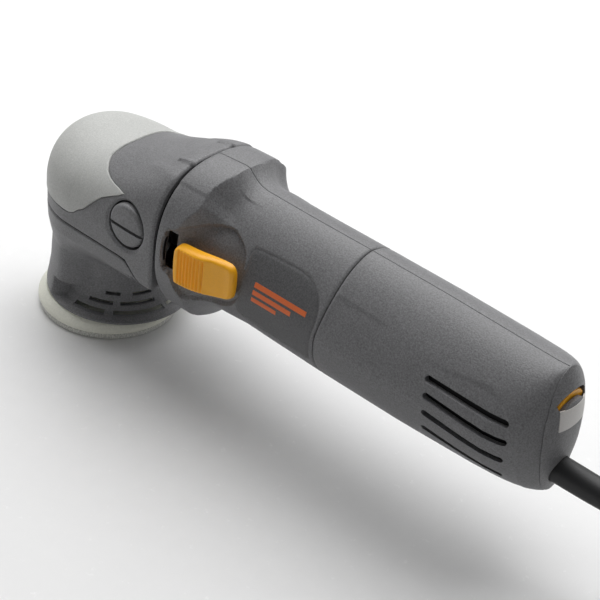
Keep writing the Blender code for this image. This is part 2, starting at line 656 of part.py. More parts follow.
def tube(name, route, radius, mat, step=16.0):
    curve = bpy.data.curves.new(name, "CURVE")
    curve.dimensions = "3D"
    curve.bevel_depth = radius * MM
    curve.bevel_resolution = 2
    curve.use_fill_caps = True
    pts = smooth_route(route, step)
    line = curve.splines.new("POLY")
    line.points.add(len(pts) - 1)
    for point, p in zip(line.points, pts):
        point.co = (p.x * MM, p.y * MM, p.z * MM, 1.0)
    curve.materials.append(mat)
    obj = bpy.data.objects.new(name, curve)
    bpy.context.collection.objects.link(obj)


def run_points(pitch):
    """Cord centreline from the guard: dips by up to pitch, then levels out, turning toward +Y."""
    steps = 106
    p = Vector((GUARD_END + GAP, 0.0, GUARD_Z))
    pts = [p.copy()]
    for k in range(steps):
        t = (k + 0.5) / steps
        dip = pitch * math.sin(math.pi * t) ** 2
        turn = RUN_TURN * t * t * (3.0 - 2.0 * t)
        flat = math.cos(dip)
        p += Vector((math.cos(turn) * flat, math.sin(turn) * flat, -math.sin(dip))) * (RUN_LENGTH / steps)
        pts.append(p.copy())
    return pts


def cord_run():
    low, high = 0.6, 1.6
    for _ in range(40):
        mid = (low + high) / 2.0
        if run_points(mid)[-1].z > CORD_R + 0.25:
            low = mid
        else:
            high = mid
    return run_points(low)


def coil_centre(end):
    """Centre of the coil whose outer turn the run meets along its tangent."""
    wrap = COIL_OUT - CORD_R
    reach = math.sqrt((COIL_OUT + CORD_R + GAP) ** 2 - wrap ** 2)
    ahead = Vector((math.cos(RUN_TURN), math.sin(RUN_TURN), 0.0))
    right = Vector((ahead.y, -ahead.x, 0.0))
    centre = end + ahead * reach + right * wrap
    return centre.x, centre.y


def make_cord(m):
    run = cord_run()
    cx, cy = coil_centre(run[-1])
    tube("cord_run", run[::6] + [run[-1]], CORD_R, m["black"], 8.0)
    section = [(COIL_IN, 3.0), (COIL_IN + 3.0, 0.2), (COIL_OUT - 3.0, 0.2), (COIL_OUT, 3.0),
               (COIL_OUT, COIL_H - 3.0), (COIL_OUT - 3.0, COIL_H), (COIL_IN + 3.0, COIL_H),
               (COIL_IN, COIL_H - 3.0)]
    turned("cord_coil", section, m["black"], 32, "z", (cx, cy, 0.0))
    y = cy + PLUG_Y
    z = COIL_H + GAP + 9.5
    outline = [(y - 9.0, z - 9.5), (y + 9.0, z - 9.5), (y + 15.5, z - 6.5), (y + 17.5, z),
               (y + 15.5, z + 6.5), (y + 9.0, z + 9.5), (y - 9.0, z + 9.5), (y - 15.5, z + 6.5),
               (y - 17.5, z), (y - 15.5, z - 6.5)]
    body = prism("plug_body", outline, cx - 43.0, cx - 4.0, m["black"], "x")
    relief = turned("relief", [(0.0, -5.0), (7.0, -5.0), (6.4, 2.0), (4.6, 17.0), (0.0, 17.0)],
                    m["black"], 16, "x", (cx, y, z))
    holes = []
    for side, tag in ((-1.0, "left"), (1.0, "right")):
        spot = (cx, y + side * 9.5, z)
        holes.append(disc("hole", 2.7, -46.0, -36.0, m["black"], 16, "x", spot))
        pin = [(0.0, -62.0), (1.6, -62.0), (2.4, -60.5), (2.4, -36.5), (0.0, -36.5)]
        turned("plug_pin_" + tag, pin, m["steel"], 16, "x", spot)
    join(body, relief)
    cut(body, *holes)


clear_scene()
MATS = {
    "dark": material("housing_grey", (0.12, 0.12, 0.13), 0.6),
    "pale": material("cap_grey", (0.5, 0.5, 0.49), 0.55),
    "black": material("black_plastic", (0.02, 0.02, 0.02), 0.6),
    "orange": material("orange_plastic", (0.9, 0.35, 0.02), 0.35),
    "cream": material("cream_foam", (0.85, 0.84, 0.72), 0.7),
    "felt": material("hook_grey", (0.3, 0.3, 0.3), 0.9),
    "steel": material("steel", (0.55, 0.55, 0.56), 0.35, 1.0),
    "alloy": material("cast_alloy", (0.6, 0.6, 0.6), 0.45, 1.0),
    "copper": material("copper", (0.8, 0.42, 0.25), 0.4, 1.0),
    "brass": material("brass", (0.75, 0.6, 0.3), 0.4, 1.0),
    "carbon": material("carbon", (0.04, 0.04, 0.04), 0.8),
}
make_head(MATS)
make_shroud(MATS)
make_barrel(MATS)
make_end(MATS)
make_switch(MATS)
make_motor(MATS)
make_gearbox(MATS)
make_plate(MATS)
make_cord(MATS)
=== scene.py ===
import math

import bmesh
import bpy
import numpy as np
from mathutils import Matrix, Vector


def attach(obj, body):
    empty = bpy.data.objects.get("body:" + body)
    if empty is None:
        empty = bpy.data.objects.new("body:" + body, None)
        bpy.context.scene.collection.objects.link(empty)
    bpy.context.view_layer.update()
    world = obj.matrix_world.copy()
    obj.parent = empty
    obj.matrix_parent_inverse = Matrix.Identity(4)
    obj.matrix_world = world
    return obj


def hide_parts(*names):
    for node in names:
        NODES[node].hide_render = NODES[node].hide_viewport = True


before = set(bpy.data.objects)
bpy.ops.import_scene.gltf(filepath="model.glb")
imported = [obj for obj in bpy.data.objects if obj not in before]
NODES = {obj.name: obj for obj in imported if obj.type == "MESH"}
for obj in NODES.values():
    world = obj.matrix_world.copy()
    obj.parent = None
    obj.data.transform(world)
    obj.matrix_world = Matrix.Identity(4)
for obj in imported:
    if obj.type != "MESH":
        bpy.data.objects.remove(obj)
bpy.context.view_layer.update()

# Dual action polisher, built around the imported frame. Lengths are millimetres until a mesh is made.
MM = 0.001


# ---------------------------------------------------------------- camera, light, floor
def make_camera():
    """Long lens from above the cord end, on the switch side."""
    data = bpy.data.cameras.new("camera")
    data.sensor_width = 36.0
    data.lens = 93.975
    cam = bpy.data.objects.new("camera", data)
    bpy.context.collection.objects.link(cam)
    right = Vector((0.74013, 0.66529, 0.09797)).normalized()
    back = Vector((0.50599, -0.64692, 0.57050)).normalized()
    up = back.cross(right).normalized()
    rot = Matrix((right, up, back)).transposed().to_4x4()
    cam.matrix_world = Matrix.Translation((0.49596, -0.47899, 0.48760)) @ rot
    bpy.context.scene.camera = cam


def area_light(name, place, aim, size, power):
    data = bpy.data.lights.new(name, "AREA")
    data.shape = "RECTANGLE"
    data.size, data.size_y = size
    data.energy = power
    lamp = bpy.data.objects.new(name, data)
    bpy.context.collection.objects.link(lamp)
    lamp.location = place
    lamp.rotation_euler = (Vector(aim) - Vector(place)).to_track_quat("-Z", "Y").to_euler()


def make_studio():
    """Even pale surround with a broad light overhead."""
    world = bpy.data.worlds.new("studio")
    bpy.context.scene.world = world
    bpy.context.scene.view_settings.view_transform = "Standard"
    world.use_nodes = True
    world.node_tree.nodes["Background"].inputs["Color"].default_value = (1.0, 1.0, 1.0, 1.0)
    world.node_tree.nodes["Background"].inputs["Strength"].default_value = 0.18
    area_light("key", (-0.2, 0.5, 1.2), (0.1, 0.0, 0.05), (1.5, 1.5), 25.0)
    area_light("front", (-1.2, -0.2, 0.6), (0.0, 0.0, 0.06), (0.6, 0.4), 2.2)
    area_light("rim", (0.4, 1.1, 0.6), (0.15, 0.0, 0.08), (1.0, 0.4), 2.5)


# ---------------------------------------------------------------- materials
def shade(name, colour, rough, metal=0.0, grain=1500.0, depth=0.3, speck=0.12, smudge=0.1,
          tint=None, stripes=None, shine=0.5):
    """Principled surface with fine grain, uneven roughness, handling marks and optional stripes.

    tint darkens where the mesh's tint value is 1; stripes are (direction, scale, darkest tone).
    """
    mat = bpy.data.materials.new(name)
    mat.use_nodes = True
    tree = mat.node_tree
    bsdf = tree.nodes["Principled BSDF"]
    bsdf.inputs["Metallic"].default_value = metal
    bsdf.inputs["Specular IOR Level"].default_value = shine
    link = tree.links.new
    where = tree.nodes.new("ShaderNodeTexCoord")

    def noise(scale, detail, rough_in=0.5):
        node = tree.nodes.new("ShaderNodeTexNoise")
        node.inputs["Scale"].default_value = scale
        node.inputs["Detail"].default_value = detail
        node.inputs["Roughness"].default_value = rough_in
        link(where.outputs["Object"], node.inputs["Vector"])
        return node.outputs["Fac"]

    def remap(source, a, b, low, high):
        node = tree.nodes.new("ShaderNodeMapRange")
        for key, value in zip(("From Min", "From Max", "To Min", "To Max"), (a, b, low, high)):
            node.inputs[key].default_value = value
        link(source, node.inputs["Value"])
        return node.outputs["Result"]

    def mathnode(op, a, b):
        node = tree.nodes.new("ShaderNodeMath")
        node.operation = op
        for k, v in enumerate((a, b)):
            if isinstance(v, float):
                node.inputs[k].default_value = v
            else:
                link(v, node.inputs[k])
        return node.outputs[0]

    fine = noise(grain, 3.0, 0.6)
    broad = noise(22.0, 4.0, 0.55)
    marks = noise(160.0, 5.0, 0.7)
    tone = mathnode("MULTIPLY", remap(fine, 0.3, 0.7, 1.0 - speck, 1.0 + speck),
                    remap(broad, 0.3, 0.7, 1.0 - smudge * 0.5, 1.0 + smudge * 0.5))
    wear = remap(marks, 0.62, 0.8, 0.0, 1.0)
    tone = mathnode("ADD", tone, mathnode("MULTIPLY", wear, 0.18))
    if tint is not None:
        attr = tree.nodes.new("ShaderNodeAttribute")
        attr.attribute_name = "tint"
        tone = mathnode("MULTIPLY", tone, remap(attr.outputs["Fac"], 0.0, 1.0, 1.0, tint))
    if stripes:
        wave = tree.nodes.new("ShaderNodeTexWave")
        wave.bands_direction = stripes[0]
        wave.inputs["Scale"].default_value = stripes[1]
        wave.inputs["Distortion"].default_value = 0.4
        link(where.outputs["Object"], wave.inputs["Vector"])
        tone = mathnode("MULTIPLY", tone, remap(wave.outputs["Fac"], 0.0, 1.0, stripes[2], 1.1))
    scale = tree.nodes.new("ShaderNodeVectorMath")
    scale.operation = "SCALE"
    scale.inputs[0].default_value = colour
    link(tone, scale.inputs["Scale"])
    link(scale.outputs["Vector"], bsdf.inputs["Base Color"])
    uneven = mathnode("ADD", remap(broad, 0.3, 0.7, rough - 0.06, rough + 0.06),
                      mathnode("MULTIPLY", wear, -0.08))
    link(mathnode("ADD", uneven, remap(fine, 0.3, 0.7, -0.05, 0.05)), bsdf.inputs["Roughness"])
    bump = tree.nodes.new("ShaderNodeBump")
    bump.inputs["Strength"].default_value = depth
    bump.inputs["Distance"].default_value = 0.0002
    link(mathnode("ADD", fine, mathnode("MULTIPLY", marks, 0.25)), bump.inputs["Height"])
    link(bump.outputs["Normal"], bsdf.inputs["Normal"])
    return mat


# ---------------------------------------------------------------- small maths
def ease(t):
    """Smooth step from 0 to 1."""
    t = np.clip(t, 0.0, 1.0)
    return t * t * (3.0 - 2.0 * t)


def around(count):
    """Even angles around a circle."""
    return np.linspace(0.0, 2.0 * math.pi, count, endpoint=False)


def table(rows, x, col=1):
    """Value of one column at x, straight between rows."""
    return np.interp(x, [r[0] for r in rows], [r[col] for r in rows])


def polygon_distance(outline, x, z):
    """Signed distance to a closed outline, negative inside."""
    pts = np.array(outline, dtype=float)
    best = np.full(x.shape, 1e9)
    inside = np.zeros(x.shape, dtype=bool)
    for a, b in zip(pts, np.roll(pts, -1, axis=0)):
        ex, ez = b - a
        wx, wz = x - a[0], z - a[1]
        t = np.clip((wx * ex + wz * ez) / (ex * ex + ez * ez), 0.0, 1.0)
        best = np.minimum(best, np.hypot(wx - ex * t, wz - ez * t))
        with np.errstate(divide="ignore", invalid="ignore"):
            hit = ((a[1] > z) != (b[1] > z)) & (x < ex * (z - a[1]) / ez + a[0])
        inside ^= hit
    return np.where(inside, -best, best)


def round_outline(outline, passes=3):
    """Cut the corners of a closed outline, each pass rounding it more."""
    for _ in range(passes):
        new = []
        for a, b in zip(outline, outline[1:] + outline[:1]):
            new.append((a[0] * 0.75 + b[0] * 0.25, a[1] * 0.75 + b[1] * 0.25))
            new.append((a[0] * 0.25 + b[0] * 0.75, a[1] * 0.25 + b[1] * 0.75))
        outline = new
    return outline


def line_distance(path, x, z):
    """Distance to an open line, and the share of its run at the nearest point."""
    best = np.full(x.shape, 1e9)
    share = np.zeros(x.shape)
    count = len(path) - 1
    for k, (a, b) in enumerate(zip(path, path[1:])):
        ex, ez = b[0] - a[0], b[1] - a[1]
        t = np.clip(((x - a[0]) * ex + (z - a[1]) * ez) / (ex * ex + ez * ez), 0.0, 1.0)
        d = np.hypot(x - a[0] - ex * t, z - a[1] - ez * t)
        near = d < best
        best = np.where(near, d, best)
        share = np.where(near, (k + t) / count, share)
    return best, share


# ---------------------------------------------------------------- mesh building, millimetres in
def to_object(name, verts, faces, mat, sharp=32.0, weld=0.004):
    """Clean mesh object in metres from millimetre points."""
    mesh = bpy.data.meshes.new(name)
    mesh.from_pydata([tuple(v) for v in np.asarray(verts, dtype=float)], [], faces)
    bm = bmesh.new()
    bm.from_mesh(mesh)
    if weld:
        bmesh.ops.remove_doubles(bm, verts=bm.verts, dist=weld)
    bmesh.ops.dissolve_degenerate(bm, edges=bm.edges, dist=0.0005)
    bmesh.ops.recalc_face_normals(bm, faces=bm.faces)
    bm.to_mesh(mesh)
    bm.free()
    mesh.transform(Matrix.Diagonal((MM, MM, MM, 1.0)))
    mesh.materials.append(mat)
    obj = bpy.data.objects.new(name, mesh)
    bpy.context.collection.objects.link(obj)
    smooth(obj, sharp)
    return obj


def smooth(obj, sharp=32.0):
    obj.data.polygons.foreach_set("use_smooth", [True] * len(obj.data.polygons))
    obj.data.set_sharp_from_angle(angle=math.radians(sharp))


def grid_faces(nu, nv, wrap_u=False, wrap_v=False, start=0, flip=False):
    """Quads over a grid of points numbered row by row."""
    iu = np.arange(nu if wrap_u else nu - 1)
    iv = np.arange(nv if wrap_v else nv - 1)
    a, b = np.meshgrid(iu, iv, indexing="ij")
    a2, b2 = (a + 1) % nu, (b + 1) % nv
    quads = np.stack([a * nv + b, a * nv + b2, a2 * nv + b2, a2 * nv + b], axis=-1).reshape(-1, 4)
    if flip:
        quads = quads[:, ::-1]
    return (quads + start).tolist()


def solid(name, outer, inner, mat, sharp=32.0, crown=False):
    """Closed wall between two open grids of the same size; a crown meets itself along its last column."""
    nu, nv = outer.shape[:2]
    verts = np.concatenate([outer.reshape(-1, 3), inner.reshape(-1, 3)])
    faces = grid_faces(nu, nv) + grid_faces(nu, nv, start=nu * nv, flip=True)
    edge = [(i, 0) for i in range(nu)] + [(nu - 1, j) for j in range(1, nv)]
    edge += [(i, nv - 1) for i in range(nu - 2, -1, -1)] + [(0, j) for j in range(nv - 2, 0, -1)]
    base = nu * nv
    for (i, j), (k, m) in zip(edge, edge[1:] + edge[:1]):
        if crown and j == nv - 1 and m == nv - 1:
            continue
        faces.append([i * nv + j, k * nv + m, base + k * nv + m, base + i * nv + j])
    return to_object(name, verts, faces, mat, sharp)


def loop_body(name, rows, mat, sharp=32.0, closed=True, caps=False):
    """Skin through closed rings; closed joins the last ring to the first, caps fills both ends."""
    rows = np.asarray(rows)
    nu, nv = rows.shape[:2]
    faces = grid_faces(nu, nv, wrap_u=closed, wrap_v=True)
    if caps:
        faces.append(list(range(nv))[::-1])
        faces.append(list(range((nu - 1) * nv, nu * nv)))
    return to_object(name, rows.reshape(-1, 3), faces, mat, sharp)


def capped(name, rows, mat, sharp=32.0):
    """Skin along a row of rings, with both ends filled."""
    return loop_body(name, rows, mat, sharp, closed=False, caps=True)


def turned(name, profile, mat, steps=64, axis="z", centre=(0.0, 0.0, 0.0), sharp=32.0):
    """Turn a (radius, height) outline, closed on itself, about an axis."""
    prof = np.array(profile, dtype=float)
    ang = around(steps)
    u = np.cos(ang)[:, None] * prof[None, :, 0]
    v = np.sin(ang)[:, None] * prof[None, :, 0]
    h = np.broadcast_to(prof[None, :, 1], u.shape)
    order = {"z": (u, v, h), "x": (h, u, v), "y": (v, h, u)}[axis]
    pts = np.stack(order, axis=-1) + np.array(centre)
    faces = []
    n = len(profile)
    for j in range(n):
        m = (j + 1) % n
        if prof[j, 0] < 1e-6 and prof[m, 0] < 1e-6:
            continue
        for k in range(steps):
            q = (k + 1) % steps
            faces.append([k * n + j, k * n + m, q * n + m, q * n + j])
    return to_object(name, pts.reshape(-1, 3), faces, mat, sharp)


def rounded(profile, r=0.5, steps=3):
    """Round the corners of a closed (radius, height) outline, leaving points on the axis."""
    out = []
    n = len(profile)
    for k in range(n):
        p = Vector(profile[k])
        a = Vector(profile[k - 1]) - p
        b = Vector(profile[(k + 1) % n]) - p
        if p.x < 1e-6 or a.length < 1e-6 or b.length < 1e-6:
            out.append(tuple(p))
            continue
        d = min(r, a.length * 0.45, b.length * 0.45)
        p0, p1 = p + a.normalized() * d, p + b.normalized() * d
        for s in range(steps + 1):
            t = s / steps
            out.append(tuple(p0 * (1 - t) ** 2 + p * 2 * t * (1 - t) + p1 * t * t))
    return out


def box(name, lo, hi, mat, bevel=0.0, segments=2):
    bm = bmesh.new()
    bmesh.ops.create_cube(bm, size=1.0)
    lo, hi = Vector(lo), Vector(hi)
    for v in bm.verts:
        v.co = (lo + hi) / 2.0 + Vector((v.co.x * (hi.x - lo.x), v.co.y * (hi.y - lo.y),
                                         v.co.z * (hi.z - lo.z)))
    if bevel > 0.0:
        bmesh.ops.bevel(bm, geom=list(bm.edges), offset=bevel, segments=segments, affect="EDGES",
                        profile=0.6)
    verts = [tuple(v.co) for v in bm.verts]
    bm.verts.index_update()
    faces = [[v.index for v in f.verts] for f in bm.faces]
    bm.free()
    return to_object(name, verts, faces, mat, 45.0, weld=0.0)


def combine(target, others, mode="DIFFERENCE", sharp=32.0):
    """Cut the other bodies out of the target, or join them to it, and bake the result."""
    for other in others:
        mod = target.modifiers.new("cut", "BOOLEAN")
        mod.operation = mode
        mod.solver = "EXACT"
        mod.object = other
    bpy.context.view_layer.update()
    graph = bpy.context.evaluated_depsgraph_get()
    mesh = bpy.data.meshes.new_from_object(target.evaluated_get(graph))
    target.modifiers.clear()
    target.data = mesh
    for other in others:
        bpy.data.objects.remove(other, do_unlink=True)
    smooth(target, sharp)
    return target


def merge(name, parts, mat=None):
    """Several objects as one mesh, for cutters and sets of small pieces."""
    bm = bmesh.new()
    for part in parts:
        bm.from_mesh(part.data)
    mesh = bpy.data.meshes.new(name)
    bm.to_mesh(mesh)
    bm.free()
    mesh.materials.append(mat or parts[0].data.materials[0])
    for part in parts:
        bpy.data.objects.remove(part, do_unlink=True)
    obj = bpy.data.objects.new(name, mesh)
    bpy.context.collection.objects.link(obj)
    smooth(obj)
    return obj


def place(obj, body, slot, *nodes):
    """Put a piece on its body and hide the solids it stands for; slot is not used."""
    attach(obj, body)
    if nodes:
        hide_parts(*nodes)
    return obj


# ---------------------------------------------------------------- cord
CORD_R = 3.8
GUARD_Z = 58.5
GUARD_END = 316.0
RUN_LENGTH = 106.0               # cord between the guard and the coil
RUN_TURN = 0.607                 # how far it turns toward +Y on the way, radians
RINGS = (51.2, 43.5, 35.8)       # radii of the coil's turns
LAYERS = (4.0, 11.8, 19.6)       # heights of its layers
COIL_R = 55.0                    # outside of the coil
TURN_POINTS = 90
PLUG_LINE = -30.0                # the plug's axis beside the coil's centre


def run_points(pitch):
    """From the guard down to the floor: dips by up to pitch, levels out, turns toward +Y."""
    steps = 106
    p = Vector((GUARD_END + 0.3, 0.0, GUARD_Z))
    pts = [p.copy()]
    for k in range(steps):
        t = (k + 0.5) / steps
        dip = pitch * math.sin(math.pi * t) ** 2
        turn = RUN_TURN * t * t * (3.0 - 2.0 * t)
        flat = math.cos(dip)
        p += Vector((math.cos(turn) * flat, math.sin(turn) * flat, -math.sin(dip))) * (RUN_LENGTH / steps)
        pts.append(p.copy())
    return pts


def cord_path():
    """Centre line from inside the guard to the plug, and the coil's centre."""
    low, high = 0.6, 1.6
    for _ in range(40):
        mid = (low + high) / 2.0
        if run_points(mid)[-1].z > CORD_R + 0.25:
            low = mid
        else:
            high = mid
    run = run_points(low)
    pts = [Vector((GUARD_END - 6.0, 0.0, GUARD_Z))] + run[::2]
    end = run[-1]
    ahead = Vector((math.cos(RUN_TURN), math.sin(RUN_TURN), 0.0))
    right = Vector((ahead.y, -ahead.x, 0.0))
    reach = math.sqrt((COIL_R + CORD_R + 0.3) ** 2 - RINGS[0] ** 2)
    centre = end + ahead * reach + right * RINGS[0]
    for k in range(1, 8):
        pts.append(end + ahead * (reach * k / 8.0) + Vector((0.0, 0.0, LAYERS[0] - end.z)) * (k / 8.0))
    start = math.pi / 2.0 + RUN_TURN
    turns = [(0, 0), (1, 0), (2, 0), (2, 1), (1, 1), (0, 1), (0, 2), (1, 2), (2, 2)]
    for (r0, z0), (r1, z1) in zip(turns, turns[1:]):
        for s in range(TURN_POINTS):
            f = s / TURN_POINTS
            g = float(ease((f - 0.72) / 0.28))
            r = RINGS[r0] + (RINGS[r1] - RINGS[r0]) * g
            z = LAYERS[z0] + (LAYERS[z1] - LAYERS[z0]) * g
            ang = start - 2.0 * math.pi * f
            pts.append(Vector((centre.x + r * math.cos(ang), centre.y + r * math.sin(ang), z)))
    # the last stretch leaves the inner turn, climbs over the coil and comes back to the plug
    tail = []
    for s in range(13):
        ang = start - RUN_TURN * s / 12.0
        tail.append((RINGS[2] * math.cos(ang), RINGS[2] * math.sin(ang)))
    tail += [(17.0 * s / 6.0, RINGS[2]) for s in range(1, 7)]
    mid_y = (RINGS[2] + PLUG_LINE) / 2.0
    bend = RINGS[2] - mid_y
    tail += [(17.0 + bend * math.sin(a), mid_y + bend * math.cos(a))
             for a in np.linspace(0.0, math.pi, 31)[1:]]
    tail.append((9.0, PLUG_LINE))
    run_len = [0.0]
    for a, b in zip(tail, tail[1:]):
        run_len.append(run_len[-1] + math.dist(a, b))
    for (x, y), s in zip(tail, run_len):
        z = LAYERS[2] + 8.2 * float(ease(s / 38.0)) + 5.6 * float(ease((s - 30.0) / 95.0))
        pts.append(Vector((centre.x + x, centre.y + y, z)))
    return pts, centre


def make_cord(mat):
    """Mains cord along its path, with the coil's centre."""
    pts, centre = cord_path()
    curve = bpy.data.curves.new("mains_cord", "CURVE")
    curve.dimensions = "3D"
    curve.bevel_depth = CORD_R * MM
    curve.bevel_resolution = 5
    curve.use_fill_caps = True
    line = curve.splines.new("POLY")
    line.points.add(len(pts) - 1)
    line.points.foreach_set("co", [c for p in pts for c in (p.x * MM, p.y * MM, p.z * MM, 1.0)])
    line.use_smooth = True
    curve.materials.append(mat)
    obj = bpy.data.objects.new("mains_cord", curve)
    bpy.context.collection.objects.link(obj)
    place(obj, "tool", "cord_rubber", "cord_run", "cord_coil")
    return obj, centre


PIN_SPREAD = 9.5                 # half the distance between the pins


def make_plug(m, centre):
    """Two-pin plug lying on the coil: grip, ribbed sleeve and pins."""
    cx = centre.x
    y, z = centre.y + PLUG_LINE, 33.4
    rings = []
    count = 72
    ang = around(count)
    shape = [(-43.0, 15.4, 7.6), (-42.7, 16.6, 8.6), (-41.6, 17.3, 9.3), (-38.0, 17.5, 9.5),
             (-30.0, 17.5, 9.5), (-24.0, 16.6, 9.2), (-18.0, 14.4, 8.8), (-11.0, 11.6, 8.4),
             (-4.0, 9.4, 7.9), (-1.0, 7.4, 7.0)]
    for s, w, h in shape:
        n = 2.0 / 3.2 if s < -14.0 else 2.0 / 2.4
        c = np.sign(np.cos(ang)) * np.abs(np.cos(ang)) ** n * w
        v = np.sign(np.sin(ang)) * np.abs(np.sin(ang)) ** n * h
        rings.append(np.stack([np.full(count, cx + s), y + c, z + v], axis=-1))
    sleeve = [(-0.5, 6.6), (0.3, 6.6)]
    for q in range(6):
        sleeve += [(1.5 + 2.6 * q + d, 6.2 - 0.28 * q - w)
                   for d, w in ((0.0, 0.9), (0.5, 0.9), (0.9, 0.0), (2.1, 0.0))]
    for s, r in sleeve:
        rings.append(np.stack([np.full(count, cx + s), y + r * np.cos(ang), z + r * np.sin(ang)], axis=-1))
    body = capped("plug", rings, m["rubber"], 40.0)
    cuts = []
    for side in (-1.0, 1.0):
        cuts.append(turned("hole", [(0.0, -46.0), (2.7, -46.0), (2.7, -38.0), (0.0, -38.0)], m["rubber"],
                           32, "x", (cx, y + side * PIN_SPREAD, z)))
    for k in range(5):
        x = cx - 34.0 + 3.4 * k
        cuts.append(box("grip", (x, y - 9.0, z + 8.7), (x + 1.6, y + 9.0, z + 12.0), m["rubber"], 0.3))
    combine(body, cuts, sharp=40.0)
    place(body, "tool", "cord_rubber", "plug_body")
    pieces = [body]
    for side, tag in ((-1.0, "left"), (1.0, "right")):
        spot = (cx, y + side * PIN_SPREAD, z)
        prof = [(0.0, -61.9), (1.2, -61.8), (1.9, -61.2), (2.4, -60.2), (2.4, -39.0), (0.0, -39.0)]
        pin = turned("pin_" + tag, prof, m["nickel"], 32, "x", spot)
        collar = turned("collar", [(2.35, -52.5), (2.46, -52.5), (2.46, -41.0), (2.35, -41.0)], m["rubber"],
                        32, "x", spot)
        pin.data.materials.append(m["rubber"])
        bm = bmesh.new()
        bm.from_mesh(pin.data)
        before = len(bm.faces)
        bm.from_mesh(collar.data)
        bm.faces.ensure_lookup_table()
        for f in bm.faces[before:]:
            f.material_index = 1
        bm.to_mesh(pin.data)
        bm.free()
        bpy.data.objects.remove(collar, do_unlink=True)
        place(pin, "tool", "steel", "plug_pin_" + tag)
        pieces.append(pin)
    return pieces


def make_guard(m):
    """Smooth rubber sleeve with a faint flare where it leaves the body."""
    prof = [(0.0, 268.2), (7.1, 268.2), (7.1, 269.3), (6.45, 269.4), (6.4, 280.0), (6.3, 288.0), (6.1, 294.0),
            (5.85, 300.0), (5.55, 306.0), (5.3, 311.0), (5.2, 313.0), (5.35, 313.6), (5.45, 314.4),
            (5.35, 315.3), (5.0, 315.9), (4.1, 316.0), (3.9, 314.5), (0.0, 314.5)]
    guard = turned("cord_sleeve", prof, m["rubber"], 48, "x", (0.0, 0.0, GUARD_Z), 40.0)
    return place(guard, "tool", "cord_rubber", "cord_guard")


# ---------------------------------------------------------------- head
HEAD_R = 39.0
HEAD_FOOT = 63.6                 # lower edge of the cover around the nose
HEAD_MID = 74.0                  # where the upright flank meets the dome
HEAD_END = 59.9
FLANK = HEAD_MID - HEAD_FOOT
# fullness of the dome and height of its ridge, by x: output of a separate fitting script, smoothed by hand
HEAD_SHAPE = [(-40.0, 2.35), (0.0, 2.35), (12.0, 2.2), (24.0, 2.15), (36.0, 2.5), (48.0, 2.75),
              (60.7, 2.75)]
HEAD_TOP = [(-39.0, 108.5), (-24.0, 105.8), (-12.0, 101.8), (0.0, 100.6), (10.0, 102.4), (22.0, 106.4),
            (30.0, 108.8), (38.0, 111.2), (44.0, 113.2), (50.0, 115.4), (56.0, 116.8), (66.0, 118.6)]
# rear edge of the light cap: x, half width, z; its lower edge is level. These points are output of the
# same fitting script
CAP_EDGE = [(6.1, 38.9, 74.3), (11.7, 38.7, 77.8), (15.5, 37.9, 82.1), (18.8, 36.8, 85.5),
            (21.6, 35.8, 88.1), (26.4, 35.1, 90.7), (31.3, 34.8, 93.3), (35.2, 34.3, 95.8),
            (30.0, 32.8, 96.1), (25.0, 31.2, 95.8), (20.1, 29.5, 96.3), (15.7, 27.0, 97.2),
            (12.1, 22.9, 98.5), (9.6, 18.9, 99.5), (9.0, 15.0, 100.5), (8.8, 10.2, 101.3),
            (9.1, 3.3, 102.0)]
CAP_LOW = 71.0
PLUG_AT = (41.0, 0.0, 82.0)      # axis of the handle plugs


def head_base(x):
    """Lower edge of the head cover: level, then dropping ahead of the collar."""
    return table([(-40.0, HEAD_FOOT), (36.0, HEAD_FOOT), (42.0, 63.3), (46.0, 59.5), (49.5, 56.2),
                  (53.0, 55.4), (62.0, 55.2)], x)


def soft(rows, x):
    """Table value with its corners eased over a few millimetres."""
    return sum(table(rows, x + d) for d in (-5.0, -3.0, -1.0, 1.0, 3.0, 5.0)) / 6.0


def row_height(level):
    """Rough height of a row: shares 0 to 1 climb the flank, 1 to 2 the dome."""
    return HEAD_FOOT + FLANK * level if level <= 1.0 else HEAD_MID + 30.0 * (level - 1.0)


def cap_end(level):
    """Where the cap stops, by height share."""
    rows = [((CAP_LOW - HEAD_FOOT) / FLANK, 1.0), ((73.3 - HEAD_FOOT) / FLANK, 6.0)]
    for x, y, z in CAP_EDGE:
        n = float(soft(HEAD_SHAPE, x)) / 2.0
        up = min(1.0, (z - HEAD_MID) / (float(soft(HEAD_TOP, x)) - HEAD_MID)) ** n
        rows.append((1.0 + math.atan2(up, (y / HEAD_R) ** n) * 2.0 / math.pi, x))
    rows.append((2.0, 9.3))
    return float(table(rows, level))


def head_grid(xs_of_row, levels, inset_of, nose=61):
    """Rows by height share; each runs from the left end, around the nose, to the right end."""
    rows = []
    for level in levels:
        ends = xs_of_row(level)
        x = np.concatenate([ends, np.zeros(nose), ends[::-1]])
        side = np.concatenate([np.full(len(ends), -1.0), np.zeros(nose), np.full(len(ends), 1.0)])
        turn = np.concatenate([np.zeros(len(ends)), np.linspace(0.0, 180.0, nose), np.zeros(len(ends))])
        inset = inset_of(x, level, side)
        ang = np.radians(-90.0 - turn)
        if level <= 1.0:
            base = head_base(x)
            z = base + (HEAD_MID - base) * level
            c = np.ones_like(x)
        else:
            phi = (level - 1.0) * math.pi / 2.0
            n = soft(HEAD_SHAPE, x)
            c = max(0.0, math.cos(phi)) ** (2.0 / n)
            if level > 1.99999:
                c = np.zeros_like(x)
            at = np.where(side == 0.0, np.cos(ang) * (HEAD_R - inset) * c, x)
            z = HEAD_MID + (soft(HEAD_TOP, at) - inset - HEAD_MID) * math.sin(phi) ** (2.0 / n)
        half = (HEAD_R - inset) * c
        px = np.where(side == 0.0, np.cos(ang) * half, x)
        py = np.where(side == 0.0, np.sin(ang) * half, side * half)
        rows.append(np.stack([px, py, z], axis=-1))
    return np.array(rows)


